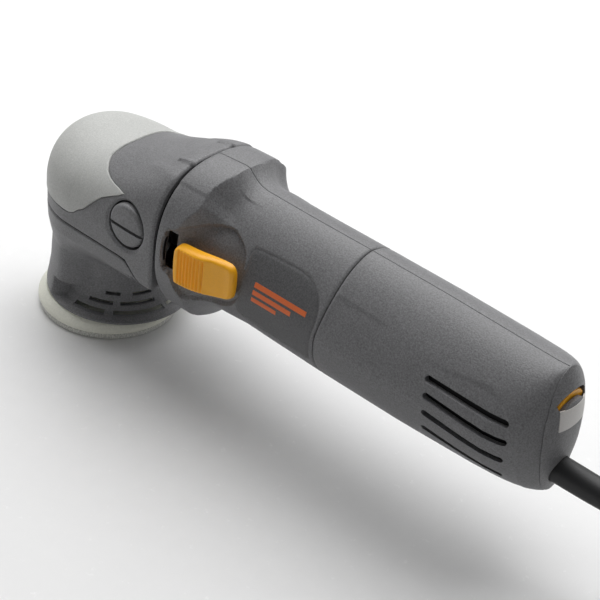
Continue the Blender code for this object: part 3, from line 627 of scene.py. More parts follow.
def grid_normals(grid):
    """Unit normals of a grid of points."""
    du = np.gradient(grid, axis=0)
    dv = np.gradient(grid, axis=1)
    n = np.cross(du, dv)
    return n / np.maximum(np.linalg.norm(n, axis=-1, keepdims=True), 1e-9)


def dome_wall(name, outer, inner, mat, sharp):
    """Wall between two head grids, closed along the ridge."""
    return solid(name, outer.transpose(1, 0, 2), inner.transpose(1, 0, 2), mat, sharp, crown=True)


def make_head(m):
    """Light cap, the shell it is let into, and the two handle plugs."""
    upper = (list(np.linspace(1.03, 1.255, 14)) + list(np.linspace(1.265, 1.44, 42))
             + list(np.linspace(1.452, 1.9, 32)) + [1.94, 1.97, 2.0])
    cap_foot = CAP_LOW + 0.15
    cap_levels = [(z - HEAD_FOOT) / FLANK for z in (cap_foot, 71.3, 71.6, 72.0, 73.0, HEAD_MID)] + upper
    steps = np.array([0.0, 0.012, 0.03, 0.06] + list(np.linspace(0.1, 1.0, 22)))

    def cap_ends(level):
        return cap_end(level) * (1.0 - steps)

    def cap_inset(x, level, side):
        edge = np.where(side == 0.0, 9.0, cap_end(level) - x)
        d = np.minimum(edge, row_height(level) - cap_foot)
        return -0.45 + 0.75 * (1.0 - np.clip(d / 0.7, 0.0, 1.0)) ** 2

    outer = head_grid(cap_ends, cap_levels, cap_inset)
    inner = head_grid(cap_ends, cap_levels, lambda x, level, side: np.full_like(x, 1.6))
    cap = dome_wall("soft_cap", outer, inner, m["cap"], 35.0)
    place(cap, "tool", "cap_grey", "head_cap")

    low_levels = [0.0, 0.02, 0.05, 0.1, 0.18, 0.26, 0.35, 0.44, 0.52, 0.6, 0.66, 0.70]
    levels = low_levels + [(z - HEAD_FOOT) / FLANK for z in (70.95, CAP_LOW)] + cap_levels
    front = np.linspace(0.0, 1.0, 12)

    def cover_ends(level):
        end = cap_end(level)
        back = [HEAD_END, HEAD_END - 0.2, HEAD_END - 0.5, HEAD_END - 1.0, HEAD_END - 1.6]
        span = np.linspace(HEAD_END - 2.3, end + 0.9, 54)
        near = [end + 0.6, end + 0.3, end + 0.29]
        return np.concatenate([back, span, near, (end + 0.25) * (1.0 - front)])

    def cover_inset(x, level, side):
        z = row_height(level)
        end = cap_end(level)
        d = HEAD_END - x
        inset = np.where(side == 0.0, 0.0, 1.2 * (1.0 - np.clip(d / 1.6, 0.0, 1.0)) ** 2)
        inset = np.maximum(inset, 0.8 * (1.0 - np.clip(level * FLANK / 1.2, 0.0, 1.0)) ** 2)
        if z >= 70.99:
            under = (side == 0.0) | (x < end + 0.295)
            lip = (side != 0.0) & ~under & (x < end + 0.9)
            inset = np.where(under, 2.0, np.where(lip, 0.25 * (1.0 - (x - end - 0.29) / 0.6), inset))
        elif z > 70.8:
            under = (side == 0.0) | (x < end)
            inset = np.where(under, 0.3, inset)
        return inset

    outer = head_grid(cover_ends, levels, cover_inset)
    x, y, z = outer[..., 0], outer[..., 1], outer[..., 2]
    n = grid_normals(outer)
    flip = np.sign(np.sum(n * np.stack([np.minimum(x, 0.0), y, z - 70.0], axis=-1), axis=-1, keepdims=True))
    n = n * np.where(flip == 0.0, 1.0, flip)
    d = np.zeros_like(x)
    ay = np.abs(y)
    # two short raised tabs on top, running out to the rear edge
    t, _ = line_distance([(51.0, 13.2), (59.0, 13.6)], x, ay)
    d += np.where(z > 100.0, ease((1.9 - t) / 1.1), 0.0)
    # soft shoulder between the top and the flank behind the cap
    t, share = line_distance([(36.0, 19.0), (42.0, 20.0), (60.0, 26.0)], x, ay)
    d += np.where(z > 96.0, 0.55 * np.exp(-(t / 3.0) ** 2) * ease(share * 2.0), 0.0)
    d -= np.where(z > 96.0, 0.5 * np.exp(-((x - 42.0) / 8.0) ** 2 - ((ay - 12.0) / 9.0) ** 2), 0.0)
    # dished seat around each handle plug
    t = np.hypot(x - PLUG_AT[0], z - PLUG_AT[2])
    d -= np.where(ay > 20.0, 1.0 - ease((t - 12.4) / 1.3), 0.0)
    outer = outer + n * d[..., None]
    outer[-1] = (outer[-1] + outer[-1, ::-1]) / 2.0
    outer[-1, :, 1] = 0.0
    inner = head_grid(cover_ends, levels, lambda xx, level, side: np.full_like(xx, 5.2))
    cover = dome_wall("head_shell", outer, inner, m["grey"], 30.0)
    holes = []
    for side in (-1.0, 1.0):
        a, b = sorted((side * 30.0, side * 44.0))
        holes.append(turned("hole", [(0.0, a), (12.2, a), (12.2, b), (0.0, b)], m["grey"], 72, "y",
                            PLUG_AT))
    combine(cover, holes, sharp=30.0)
    place(cover, "tool", "housing_grey", "head_cover")

    for side, tag in ((-1.0, "left"), (1.0, "right")):
        prof = rounded([(0.0, side * 34.0), (11.2, side * 34.0), (11.2, side * 37.4), (10.0, side * 38.6),
                        (0.0, side * 38.9)], 0.8, 4)
        plug = turned("blank_plug_" + tag, prof, m["grey"], 72, "y", PLUG_AT)
        y0, y1 = sorted((side * 37.0, side * 40.5))
        combine(plug, [box("slot", (PLUG_AT[0] - 12.0, y0, 79.9), (PLUG_AT[0] + 12.0, y1, 81.7), m["grey"])])
        place(plug, "tool", "housing_grey", "handle_plug_" + tag)


# ---------------------------------------------------------------- shroud
SHROUD_FRONT = [(10.5, 37.9), (11.3, 38.5), (12.5, 38.9), (15.0, 38.9), (21.0, 37.9), (28.0, 36.9),
                (37.0, 36.5), (44.0, 36.2), (49.0, 37.4), (55.0, 38.6), (61.7, 39.0), (64.0, 39.0)]
SHROUD_REAR = [(10.5, 37.9), (11.2, 38.4), (12.0, 38.2), (12.8, 36.0), (14.3, 32.8), (18.0, 29.9),
               (23.0, 27.9), (30.0, 27.2), (38.0, 27.4), (43.0, 28.8), (47.0, 31.8), (51.0, 35.4),
               (55.0, 38.2), (64.0, 39.0)]


SHROUD_FOOT = 10.5
SHROUD_RISE = 52.6
# rows of slots: height, inner radius, spans in degrees on each side of the rear
SHROUD_SLOTS = [(13.4, 27.0, ((2.0, 50.0), (58.0, 88.0))), (17.3, 24.5, ((8.0, 44.0), (51.0, 76.0))),
                (22.0, 23.0, ((10.0, 31.0), (44.0, 60.0)))]


def make_shroud(m):
    """Round skirt with a scooped, slotted rear that spreads up into the collar."""
    nt = 240
    share = np.concatenate([np.linspace(0.0, 0.06, 6)[:-1], np.linspace(0.06, 1.0, 76)])
    ang = around(nt)
    back = np.degrees(np.abs(np.where(ang > math.pi, ang - 2.0 * math.pi, ang)))

    def ring(s, inset):
        z = np.full(nt, SHROUD_FOOT + SHROUD_RISE * s)
        for _ in range(2):
            front = table(SHROUD_FRONT, z)
            rear = table(SHROUD_REAR, z)
            crest = np.where(z < 24.0, 112.0, 106.0)
            scoop = ease((crest - back) / np.where(z < 24.0, 9.0, 34.0))
            rad = front + (rear - front) * scoop - inset
            stretch = table([(40.0, 0.0), (45.0, 0.2), (50.0, 0.75), (55.0, 1.0), (70.0, 1.0)], z)
            x = rad * np.cos(ang)
            y = rad * np.sin(ang)
            grow = np.where(x > 0.0, stretch, 0.0)
            reach = HEAD_END - 0.4 - inset
            full_x = reach * np.minimum(1.0, 1.9 * np.cos(ang))
            full_y = np.sign(np.sin(ang)) * rad * np.minimum(1.0, np.abs(np.sin(ang)) * 1.9)
            x = x + (full_x - x) * grow
            y = y + (full_y - y) * grow
            limit = head_base(x) - 0.5
            waist = SHROUD_FOOT + SHROUD_RISE * 0.6
            z = np.where(s > 0.6, waist + (limit - waist) * (s - 0.6) / 0.4, SHROUD_FOOT + SHROUD_RISE * s)
        rim = 0.7 * (1.0 - np.clip((limit - z) / 1.0, 0.0, 1.0)) ** 2
        shrink = 1.0 - rim / np.maximum(np.hypot(x, y), 1.0)
        return np.stack([x * shrink, y * shrink, z], axis=-1)

    rows = [ring(s, 0.0) for s in share] + [ring(s, 2.2) for s in share[::-1]]
    obj = loop_body("shroud_skin", rows, m["grey"], 28.0)
    cutters = []
    for side in (-1.0, 1.0):
        for z, r0, spans in SHROUD_SLOTS:
            for a0, a1 in spans:
                a = np.radians(np.linspace(a0, a1, 22)) * side
                rows = []
                for r, h in ((r0, z - 0.1), (r0 + 22.0, z - 0.1), (r0 + 22.0, z + 1.7), (r0, z + 1.7)):
                    rows.append(np.stack([r * np.cos(a), r * np.sin(a), np.full(len(a), h)], axis=-1))
                rows = np.array(rows).transpose(1, 0, 2)
                cutters.append(capped("slot", rows, m["grey"]))
    combine(obj, [merge("slots", cutters)], sharp=28.0)
    place(obj, "tool", "housing_grey", "shroud")


# ---------------------------------------------------------------- barrel
# sections by x: half width, top, middle, bottom, fullness above and below the middle
COLLAR = [
    (61.3, 39.1, 118.0, 74.0, 34.0, 2.5, 1.95), (65.0, 39.6, 118.7, 74.0, 33.8, 2.45, 1.95),
    (76.0, 39.7, 119.4, 74.0, 34.0, 2.4, 1.95), (83.0, 39.4, 119.8, 74.2, 34.6, 2.35, 1.95),
    (125.0, 38.6, 119.8, 74.2, 36.0, 2.3, 1.95),
]
GRIP = [
    (61.0, 33.4, 113.6, 76.6, 43.0, 1.8, 1.85), (97.0, 33.0, 113.1, 76.6, 44.8, 1.75, 1.85),
    (108.0, 32.2, 112.8, 77.2, 44.6, 1.7, 1.8), (125.0, 31.9, 112.6, 77.4, 43.4, 1.7, 1.8),
    (158.0, 31.8, 112.5, 77.4, 42.3, 1.7, 1.8), (200.0, 32.1, 111.9, 77.4, 42.5, 1.7, 1.8),
    (238.0, 31.9, 110.6, 77.3, 43.5, 1.7, 1.8), (248.0, 31.3, 110.2, 77.5, 43.9, 1.7, 1.8),
    (254.0, 29.7, 110.0, 77.8, 44.3, 1.75, 1.85), (258.0, 27.7, 109.9, 78.0, 44.7, 1.8, 1.9),
    (262.0, 24.2, 109.9, 78.4, 45.0, 1.9, 1.95), (265.0, 20.0, 110.0, 79.0, 45.5, 2.0, 2.0),
    (266.6, 17.2, 110.1, 79.3, 46.0, 2.0, 2.0), (267.4, 15.4, 110.2, 79.5, 46.4, 2.0, 2.0),
]
REAR_END = 267.4
JOINT = 158.0                    # housing to rear shells
WALL = 3.0
# by height: where the collar starts to fall to the grip, and over what length. Some points of CREST are
# output of a separate ray script
CREST = [(28.0, 73.0), (40.0, 74.5), (48.0, 77.0), (54.6, 78.6), (59.5, 78.3), (66.2, 74.0), (71.5, 71.2),
         (83.0, 70.8), (94.5, 72.6), (97.6, 74.0), (101.0, 75.6), (104.3, 78.0), (107.0, 79.8),
         (109.0, 80.6), (112.5, 79.8), (114.6, 80.0), (117.9, 81.8), (119.6, 82.9), (120.0, 83.0)]
TOE = [(28.0, 14.0), (50.0, 15.0), (66.0, 20.0), (80.0, 24.0), (100.0, 21.0), (112.0, 14.0), (120.0, 13.4)]
# outlines on the flank: black switch seat, and side panel
INSERT = [(66.5, 72.0), (66.5, 93.0), (73.0, 95.0), (82.0, 99.5), (94.0, 102.0), (101.0, 99.4),
          (106.4, 96.0), (108.9, 91.0), (110.5, 82.0), (109.0, 73.0), (104.6, 67.0), (98.0, 62.5),
          (88.0, 59.0), (80.0, 59.0), (75.5, 64.0), (72.5, 71.8)]
PANEL = [(108.9, 97.4), (112.5, 99.6), (156.6, 100.0), (155.4, 62.6), (154.0, 61.2), (116.0, 62.2),
         (109.0, 64.6), (107.5, 67.0), (109.0, 73.0), (110.4, 84.6), (110.1, 93.0)]


def section(rows, x, inset, count=360):
    """Half outline of a section from bottom to top, as y and z."""
    half, top, mid, low, above, below = (float(table(rows, x, c)) for c in range(1, 7))
    phi = np.linspace(-math.pi / 2.0, math.pi / 2.0, count)
    c, s = np.cos(phi), np.sin(phi)
    n = np.where(s > 0.0, above, below)
    y = (half - inset) * np.abs(c) ** (2.0 / n)
    rise = np.where(s > 0.0, top - inset - mid, mid - low - inset)
    z = mid + rise * np.sign(s) * np.abs(s) ** (2.0 / n)
    return y, z


def profile(x, inset=0.0):
    """Half outline of the barrel with the collar blended into the grip."""
    y, z = section(GRIP, x, inset)
    if x < COLLAR[-1][0]:
        yc, zc = section(COLLAR, x, inset)
        t = np.clip((x - table(CREST, zc)) / table(TOE, zc), 0.0, 1.0)
        w = 1.0 - (1.0 - t) ** 2.3
        y, z = yc + (y - yc) * w, zc + (z - zc) * w
    return y, z


def flank_point(x, z):
    """Half width of the flank at a place."""
    y, heights = profile(x)
    return float(np.interp(z, heights, y))


def half_grid(xs, shares, inset):
    """Rows of points along half the barrel, spaced by share of the girth."""
    rows = []
    for x in xs:
        y, z = profile(x, inset)
        run = np.concatenate([[0.0], np.cumsum(np.hypot(np.diff(y), np.diff(z)))])
        run /= run[-1]
        rows.append(np.stack([np.full(len(shares), x), np.interp(shares, run, y), np.interp(shares, run, z)],
                             axis=-1))
    return np.array(rows)


def spaced(a, b, step, ends=(0.15, 0.4, 0.8, 1.3)):
    """Even steps from a to b with finer ones at both ends."""
    lead = [a] + [a + e for e in ends]
    tail = [b - e for e in ends[::-1]] + [b]
    count = max(2, int(round((tail[0] - lead[-1]) / step)))
    return np.concatenate([lead, np.linspace(lead[-1], tail[0], count + 1)[1:-1], tail])


def split_shift(x, z):
    """The joint between housing and rear shells leans forward towards the bottom."""
    lean = -3.6 * ease((100.0 - z) / 42.0)
    return lean * ease(1.0 - np.abs(x - JOINT) / 26.0)


END_CREST = [(46.0, 2.2), (58.0, 1.9), (68.0, 1.9), (78.0, 1.1), (86.0, 0.3), (93.0, -0.2), (98.0, -0.9),
             (105.0, -1.7), (110.0, -2.3)]


def end_shift(x, z):
    """The rim of the rear end leans: its top lies further forward than its foot."""
    return table(END_CREST, z) * ease((x - 248.0) / 19.0)


def barrel_half(name, x0, x1, side, step, count, mat):
    """One half shell, with its flank details, of the housing or of the rear."""
    xs = spaced(x0, x1, step)
    shares = spaced(0.0, 1.0, 1.0 / count, (0.0015, 0.004, 0.008))
    outer = half_grid(xs, shares, 0.0)
    inner = half_grid(xs, shares, WALL)
    x, y, z = outer[..., 0].copy(), outer[..., 1], outer[..., 2]
    n = grid_normals(outer)
    sign = np.sign(np.sum(n * np.stack([np.zeros_like(x), y, z - 76.0], axis=-1), axis=-1, keepdims=True))
    n = n * np.where(sign == 0.0, 1.0, sign)
    n[..., 0] *= 0.3
    d = np.zeros_like(x)
    housing = x0 < 100.0
    # rolled edges at both ends and along the seam
    for edge, depth in ((x - x0, 1.0 if housing else 0.75), (x1 - x, 0.75 if housing else 0.25)):
        d -= depth * (1.0 - np.clip(edge / 1.3, 0.0, 1.0)) ** 2
    d -= 0.3 * (1.0 - np.clip(np.minimum(shares, 1.0 - shares)[None, :] / 0.006, 0.0, 1.0)) ** 2
    if housing:
        # raised crown of the collar, and its soft shoulder line
        pad = ease((25.8 - y) / 1.3) * ease((z - 100.0) / 4.0) * ease((82.5 - x) / 2.0)
        d += 0.45 * pad
        # hollow between the collar's crest and the grip
        d -= np.where(y > 10.0, 1.5 * np.exp(-((x - 89.0) / 7.0) ** 2 - ((z - 103.0) / 7.5) ** 2), 0.0)
        # side panel with a fine groove around it
        t = polygon_distance(round_outline(PANEL, 3), x, z)
        wide = y > 12.0
        d -= np.where(wide, 0.55 * np.exp(-(t / 0.55) ** 2), 0.0)
        d -= np.where(wide & (t < 0.0), 0.18 * ease(-t / 0.8), 0.0)
        if side < 0.0:
            t = polygon_distance(round_outline(INSERT, 2), x, z)
            d -= np.where(wide, 2.2 * ease((0.5 - t) / 0.9), 0.0)
    else:
        # flank crease running back from the joint and fading out
        t = 99.5 - 0.02 * (x - JOINT) - z
        fade = ease((206.0 - x) / 44.0) * ease((x - 159.0) / 3.0)
        d -= np.where(y > 12.0, 0.6 * fade * ease(t / 1.3) * (1.0 - ease((t - 2.0) / 22.0)), 0.0)
        # shallow field around the vents, its rear edge curved
        edge = [(223.9, 96.1), (233.4, 97.2), (240.5, 97.8), (247.1, 97.2), (252.9, 94.8), (256.5, 90.0),
                (259.6, 82.6), (261.6, 73.3), (262.0, 58.0), (262.0, 30.0), (150.0, 30.0), (150.0, 95.0)]
        t = polygon_distance(edge, x, z)
        fade = ease((x - 196.0) / 50.0) * ease((z - 46.0) / 10.0)
        d -= np.where(y > 8.0, 0.75 * ease(-t / 1.5) * fade, 0.0)
    outer = outer + n * d[..., None]
    for g in (outer, inner):
        g[..., 0] += split_shift(g[..., 0], g[..., 2]) + end_shift(g[..., 0], g[..., 2])
        g[..., 1] = np.maximum(g[..., 1], 0.12) * side
    obj = solid(name, outer, inner, mat, 30.0)
    if housing:
        layer = obj.data.attributes.new("tint", "FLOAT", "POINT")
        co = np.empty(len(obj.data.vertices) * 3)
        obj.data.vertices.foreach_get("co", co)
        co = co.reshape(-1, 3) / MM
        t = polygon_distance(round_outline(PANEL, 3), co[:, 0] - split_shift(co[:, 0], co[:, 2]), co[:, 2])
        layer.data.foreach_set("value", np.where(np.abs(co[:, 1]) > 12.0, ease((0.4 - t) / 0.8), 0.0))
    return obj


# centre line of each vent, front to rear
# ends of the vents, output of a separate ray script
VENTS = [(215.1, 89.0, 257.4, 87.6), (216.9, 82.2, 258.7, 79.2), (217.9, 74.0, 258.3, 69.3),
         (217.2, 63.6, 256.8, 57.6)]
VENT_R = 1.6
SCREWS = [(168.0, 96.0), (168.0, 56.5), (246.0, 55.5), (90.0, 52.0), (146.0, 103.0)]
SWITCH_SLOT = [(67.2, 73.0), (73.2, 92.4)]    # opening ahead of the switch, low and high corner


def capsule(x0, z0, x1, z1, r, y0, y1, mat):
    """Rounded bar across the wall, used to open a vent."""
    tilt = math.atan2(z1 - z0, x1 - x0)
    turn = [tilt + a for a in np.linspace(-math.pi / 2.0, math.pi / 2.0, 13)]
    pts = [(x1 + r * math.cos(a), z1 + r * math.sin(a)) for a in turn]
    pts += [(x0 - r * math.cos(a), z0 - r * math.sin(a)) for a in turn]
    rows = [[(x, y, z) for x, z in pts] for y in (y0, y1)]
    return capped("vent", rows, mat)


def switch_slot(y0, y1, mat):
    (x0, z0), (x1, z1) = SWITCH_SLOT
    return box("slot", (x0, y0, z0), (x1, y1, z1), mat, 0.4)


def make_screw(index, x, z, wall, m):
    """Sunk shell screw with a star socket."""
    prof = rounded([(0.0, wall - 22.0), (1.4, wall - 22.0), (1.4, wall - 2.3), (3.1, wall - 2.3),
                    (3.1, wall - 1.4), (2.4, wall - 0.8), (0.0, wall - 0.6)], 0.25)
    screw = turned("screw_%d" % index, prof, m["steel"], 36, "y", (x, 0.0, z))
    ang = around(48)
    r = 1.35 + 0.22 * np.cos(6.0 * ang)
    star = [np.stack([x + r * np.cos(ang), np.full(48, y), z + r * np.sin(ang)], axis=-1)
            for y in (wall - 1.9, wall + 1.0)]
    combine(screw, [capped("star", star, m["steel"])])
    place(screw, "tool", "steel", "shell_screw_%d" % index)


def make_barrel(m):
    """Four half shells with vents, sunk screws and the opening ahead of the switch."""
    made = {}
    for side, tag, step, count in ((-1.0, "left", 0.7, 170), (1.0, "right", 0.9, 130)):
        made["housing_" + tag] = barrel_half("body_" + tag, 61.9, JOINT - 0.2, side, step, count, m["grey"])
        rear = barrel_half("rear_" + tag, JOINT + 0.2, REAR_END, side, 0.9, 130, m["grey"])
        y0, y1 = sorted((side * 18.0, side * 40.0))
        bars = [capsule(a + VENT_R, b, c - VENT_R, d, VENT_R, y0, y1, m["grey"]) for a, b, c, d in VENTS]
        combine(rear, [merge("vents", bars)], sharp=30.0)
        made["rear_shell_" + tag] = rear
    cuts = {"housing_left": [switch_slot(-45.0, -30.0, m["black"])],
            "housing_right": [], "rear_shell_right": []}
    for index, (x, z) in enumerate(SCREWS, 1):
        wall = min(flank_point(x, z + d) for d in (-3.2, 0.0, 3.2))
        sink = rounded([(0.0, wall - 2.6), (3.6, wall - 2.6), (3.6, wall + 4.0), (0.0, wall + 4.0)], 0.2)
        shell = "rear_shell_right" if x > JOINT else "housing_right"
        cuts[shell].append(turned("sink", sink, m["grey"], 32, "y", (x, 0.0, z)))
        make_screw(index, x, z, wall, m)
    for key, tools in cuts.items():
        combine(made[key], tools, sharp=30.0)
    for key, obj in made.items():
        place(obj, "tool", "housing_grey", key)


def make_vent_shade_sheets(m):
    """Black sheets close behind the vents: painted shade standing in for the dark inside seen through them.
    """
    for side, tag in ((-1.0, "left"), (1.0, "right")):
        rows = []
        for x in np.linspace(206.0, 262.0, 29):
            faces = []
            for inset in (WALL + 0.7, WALL + 1.4):
                y, z = section(GRIP, x, inset, 90)
                zs = np.linspace(50.0, 96.0, 24)
                faces.append([(x, side * v, w) for v, w in zip(np.interp(zs, z, y), zs)])
            rows.append(faces[0] + faces[1][::-1])
        sheet = capped("vent_shade_sheet_" + tag, rows, m["black"], 40.0)
        place(sheet, "tool", "black_plastic")


def make_gap_shade_ring(m):
    """Black ring set deep in the gap between the head and the collar: painted shade that darkens the groove.
    """
    rows = []
    for x, inset in ((59.0, 2.6), (63.2, 2.6), (63.2, 4.4), (59.0, 4.4)):
        y, z = section(COLLAR, 63.0, inset, 90)
        loop = [(x, -a, b) for a, b in zip(y, z)] + [(x, a, b) for a, b in zip(y[-2:0:-1], z[-2:0:-1])]
        rows.append(loop)
    ring_obj = loop_body("head_gap_shade_ring", np.array(rows), m["black"], 40.0)
    place(ring_obj, "tool", "black_plastic")


def make_insert(m):
    """Black seat around the slide switch, dished under it, with the slot ahead of it."""
    centre = np.array([88.0, 80.0])
    dish = [(74.0, 66.5), (110.0, 67.5), (110.5, 95.5), (74.0, 96.5)]
    floor = 33.2
    rings = []
    rim = np.array(round_outline(INSERT, 2))
    # walk the rim evenly, then shrink it to the middle
    closed = np.vstack([rim, rim[:1]])
    run = np.concatenate([[0.0], np.cumsum(np.hypot(*np.diff(closed, axis=0).T))])
    at = np.linspace(0.0, run[-1], 200, endpoint=False)
    rim = np.stack([np.interp(at, run, closed[:, 0]), np.interp(at, run, closed[:, 1])], axis=-1)
    sizes = [0.985, 0.98, 0.97, 0.95, 0.92, 0.88, 0.84, 0.8, 0.74, 0.66, 0.56, 0.44, 0.3, 0.15, 0.0]
    depths = [1.6, 1.1] + [0.9] * (len(sizes) - 2)
    for size, depth in zip(sizes, depths):
        row = []
        for x, z in centre + (rim - centre) * size:
            y = flank_point(x, z)
            inside = polygon_distance(dish, np.array([x]), np.array([z]))[0] < 0.0
            row.append((x, -min(y - depth, max(floor, y - 4.5)) if inside else depth - y, z))
        rings.append(row)
    outer = np.array(rings)
    inner = outer.copy()
    inner[..., 1] += 1.6
    rows = np.concatenate([outer, inner[::-1]])
    obj = loop_body("switch_seat", rows, m["black"], 40.0, closed=True)
    combine(obj, [switch_slot(-45.0, -25.0, m["black"])], sharp=40.0)
    place(obj, "tool", "black_plastic", "switch_bezel")


SLIDER = [(75.2, 70.2), (77.6, 68.4), (103.0, 71.6), (107.6, 73.2), (109.0, 77.0), (109.2, 87.6),
          (107.4, 91.0), (103.0, 91.8), (80.0, 90.6), (76.2, 89.4), (75.0, 86.6)]
RIBS = (78.4, 94.0)
RIB_PITCH = 1.95


def make_slider(m):
    """Ribbed slide button, lower toward the rear, on a stem through its seat."""
    outline = round_outline(SLIDER, 3)
    rim = np.array(outline)
    x0, x1 = rim[:, 0].min(), rim[:, 0].max()
    low = rim[rim[:, 1] < 82.0]
    high = rim[rim[:, 1] >= 82.0]
    low = low[np.argsort(low[:, 0])]
    high = high[np.argsort(high[:, 0])]
    ends = np.array([0.0, 0.06, 0.15, 0.3, 0.5, 0.8, 1.2])
    xs = np.concatenate([x0 + ends, np.linspace(x0 + 1.5, x1 - 1.5, 150), x1 - ends[::-1]])
    v = np.concatenate([[0.0, 0.004, 0.012, 0.03, 0.05], np.linspace(0.075, 0.925, 34),
                        [0.95, 0.97, 0.988, 0.996, 1.0]])
    zl = np.interp(xs, low[:, 0], low[:, 1])
    zh = np.interp(xs, high[:, 0], high[:, 1])
    x = np.repeat(xs[:, None], len(v), axis=1)
    z = zl[:, None] + (zh - zl)[:, None] * v[None, :]
    d = -polygon_distance(outline, x, z)
    edge = np.sqrt(np.clip(1.0 - (1.0 - np.clip(d / 1.8, 0.0, 1.0)) ** 2, 0.0, 1.0))
    top = 4.9 - 1.9 * ease((x - 93.0) / 12.0) + 0.25 * ease((84.0 - x) / 9.0)
    top = top - 0.9 * np.exp(-((x - 96.5) / 3.6) ** 2) * ease((26.0 - np.abs(z - 82.0) * 2.0) / 12.0)
    groove = 1.15 * (0.5 - 0.5 * np.cos(2.0 * math.pi * (x - RIBS[0]) / RIB_PITCH))
    groove = groove * ease(np.minimum(z - 70.2, 90.0 - z) / 2.0)
    top = top - np.where((x > RIBS[0]) & (x < RIBS[1]), groove, 0.0)
    sink = 3.0 * ease((x - 84.0) / 24.0)
    y = 36.0 - sink + top * edge - 0.00176 * (z - 80.0) ** 2
    outer = np.stack([x, -y, z], axis=-1)
    inner = outer.copy()
    inner[..., 1] = sink - 35.3
    obj = solid("switch_slider", outer, inner, m["orange"], 40.0)
    stem = box("stem", (84.0, -36.0, 80.0), (94.0, -26.6, 84.0), m["orange"], 0.4)
    combine(obj, [stem], "UNION", 40.0)
    place(obj, "slider", "orange_plastic", "slide_button")


def make_bars(m):
    """Three plain orange bars on the side panel."""
    shapes = []
    for z0, z1, x1 in ((84.6, 87.0, 149.0), (81.0, 83.2, 141.0), (77.6, 79.6, 133.0)):
        xs = np.linspace(118.0, x1, 24)
        zs = np.linspace(z0, z1, 6)
        out = np.array([[(x, 0.08 - flank_point(x, z), z) for z in zs] for x in xs])
        inn = out.copy()
        inn[..., 1] += 0.6
        shapes.append(solid("bar", out, inn, m["mark"], 40.0))
    obj = merge("panel_bars", shapes, m["mark"])
    place(obj, "tool", "orange_plastic")


# ---------------------------------------------------------------- rear end
END_MID = 79.5
END_HALF, END_UP, END_DOWN = 15.4, 30.7, 33.1    # half width, and height above and below its middle
DIAL_Z = 87.5


def face_x(rho, z):
    """Rear face, bulging toward its middle; rho is the share of the way out to the rim."""
    rim = REAR_END + 0.25 + table(END_CREST, z)
    return rim + (272.9 - rim) * (1.0 - rho ** 2.4)


def make_end(m):
    """End cap with the dial's opening and the cord's, the plate under the dial, and the dial."""
    count = 200
    ang = around(count)
    ry = END_HALF * np.cos(ang)
    rz = np.where(np.sin(ang) > 0.0, END_UP, END_DOWN) * np.sin(ang)
    rows = []
    for rho in [0.985, 0.993, 0.99, 0.98, 0.965] + list(np.linspace(0.95, 0.05, 46)):
        y, z = ry * rho, END_MID + rz * rho
        x = face_x(min(rho, 0.99), z) - (0.9 if len(rows) == 0 else 0.0)
        rows.append(np.stack([x, y, z], axis=-1))
    outer = np.array(rows)
    inner = outer[1:].copy()
    inner[..., 1] *= 0.88
    inner[..., 2] = END_MID + (inner[..., 2] - END_MID) * 0.93
    inner[..., 0] = np.minimum(inner[..., 0] - 1.8, 269.5)
    cap = capped("end_shell", np.concatenate([inner[::-1], outer]), m["grey"], 34.0)
    # opening over the dial
    arc = np.radians(np.linspace(-50.0, 50.0, 24))
    line = [(13.6 * math.sin(a), DIAL_Z + 13.6 * math.cos(a)) for a in arc]
    line += [(11.4 * math.sin(a), 84.6 + 11.4 * math.cos(a)) for a in arc[::-1]]
    slot = capped("slot", [[(x, y, z) for y, z in line] for x in (262.0, 276.0)], m["black"])
    hole = turned("hole", [(0.0, 262.0), (6.75, 262.0), (6.75, 290.0), (0.0, 290.0)], m["grey"], 48, "x",
                  (0.0, 0.0, GUARD_Z))
    combine(cap, [slot, hole], sharp=34.0)
    place(cap, "tool", "housing_grey", "end_cap")

    # thin plate under the dial, following the end face
    out = []
    for y in np.linspace(-9.2, 9.2, 36):
        row = []
        for z in np.linspace(83.6, 93.8, 20):
            rho = math.hypot(y / END_HALF, (z - END_MID) / END_UP)
            row.append((float(face_x(rho, z)) + 0.3, y, z))
        out.append(row)
    out = np.array(out)
    inn = out.copy()
    inn[..., 0] -= 0.7
    label = solid("rating_plate", out, inn, m["label"], 40.0)
    place(label, "tool", "cap_grey", "end_label")

    # dial, knurled rim with a shallow row of plain marks
    rows = []
    steps = 240
    a = around(steps)
    knurl = 0.28 * (0.5 + 0.5 * np.cos(a * 44.0))
    for r, x, k in ((2.2, 256.0, 0), (2.2, 264.8, 0), (10.4, 264.8, 0), (11.4, 265.0, 0), (11.85, 265.5, 1),
                    (12.0, 266.2, 1), (12.0, 267.8, 1), (11.85, 268.4, 1), (11.4, 268.9, 0), (10.4, 269.0, 0),
                    (8.5, 268.9, 0), (2.0, 268.9, 0)):
        rr = r - knurl * k
        rows.append(np.stack([np.full(steps, x), rr * np.cos(a), DIAL_Z + rr * np.sin(a)], axis=-1))
    wheel = capped("dial", rows, m["orange"], 34.0)
    place(wheel, "dial", "orange_plastic", "speed_wheel")


# ---------------------------------------------------------------- plate
PLATE_AT = (-4.2, -4.2, 0.0)      # the plate's axis, off the drive axis


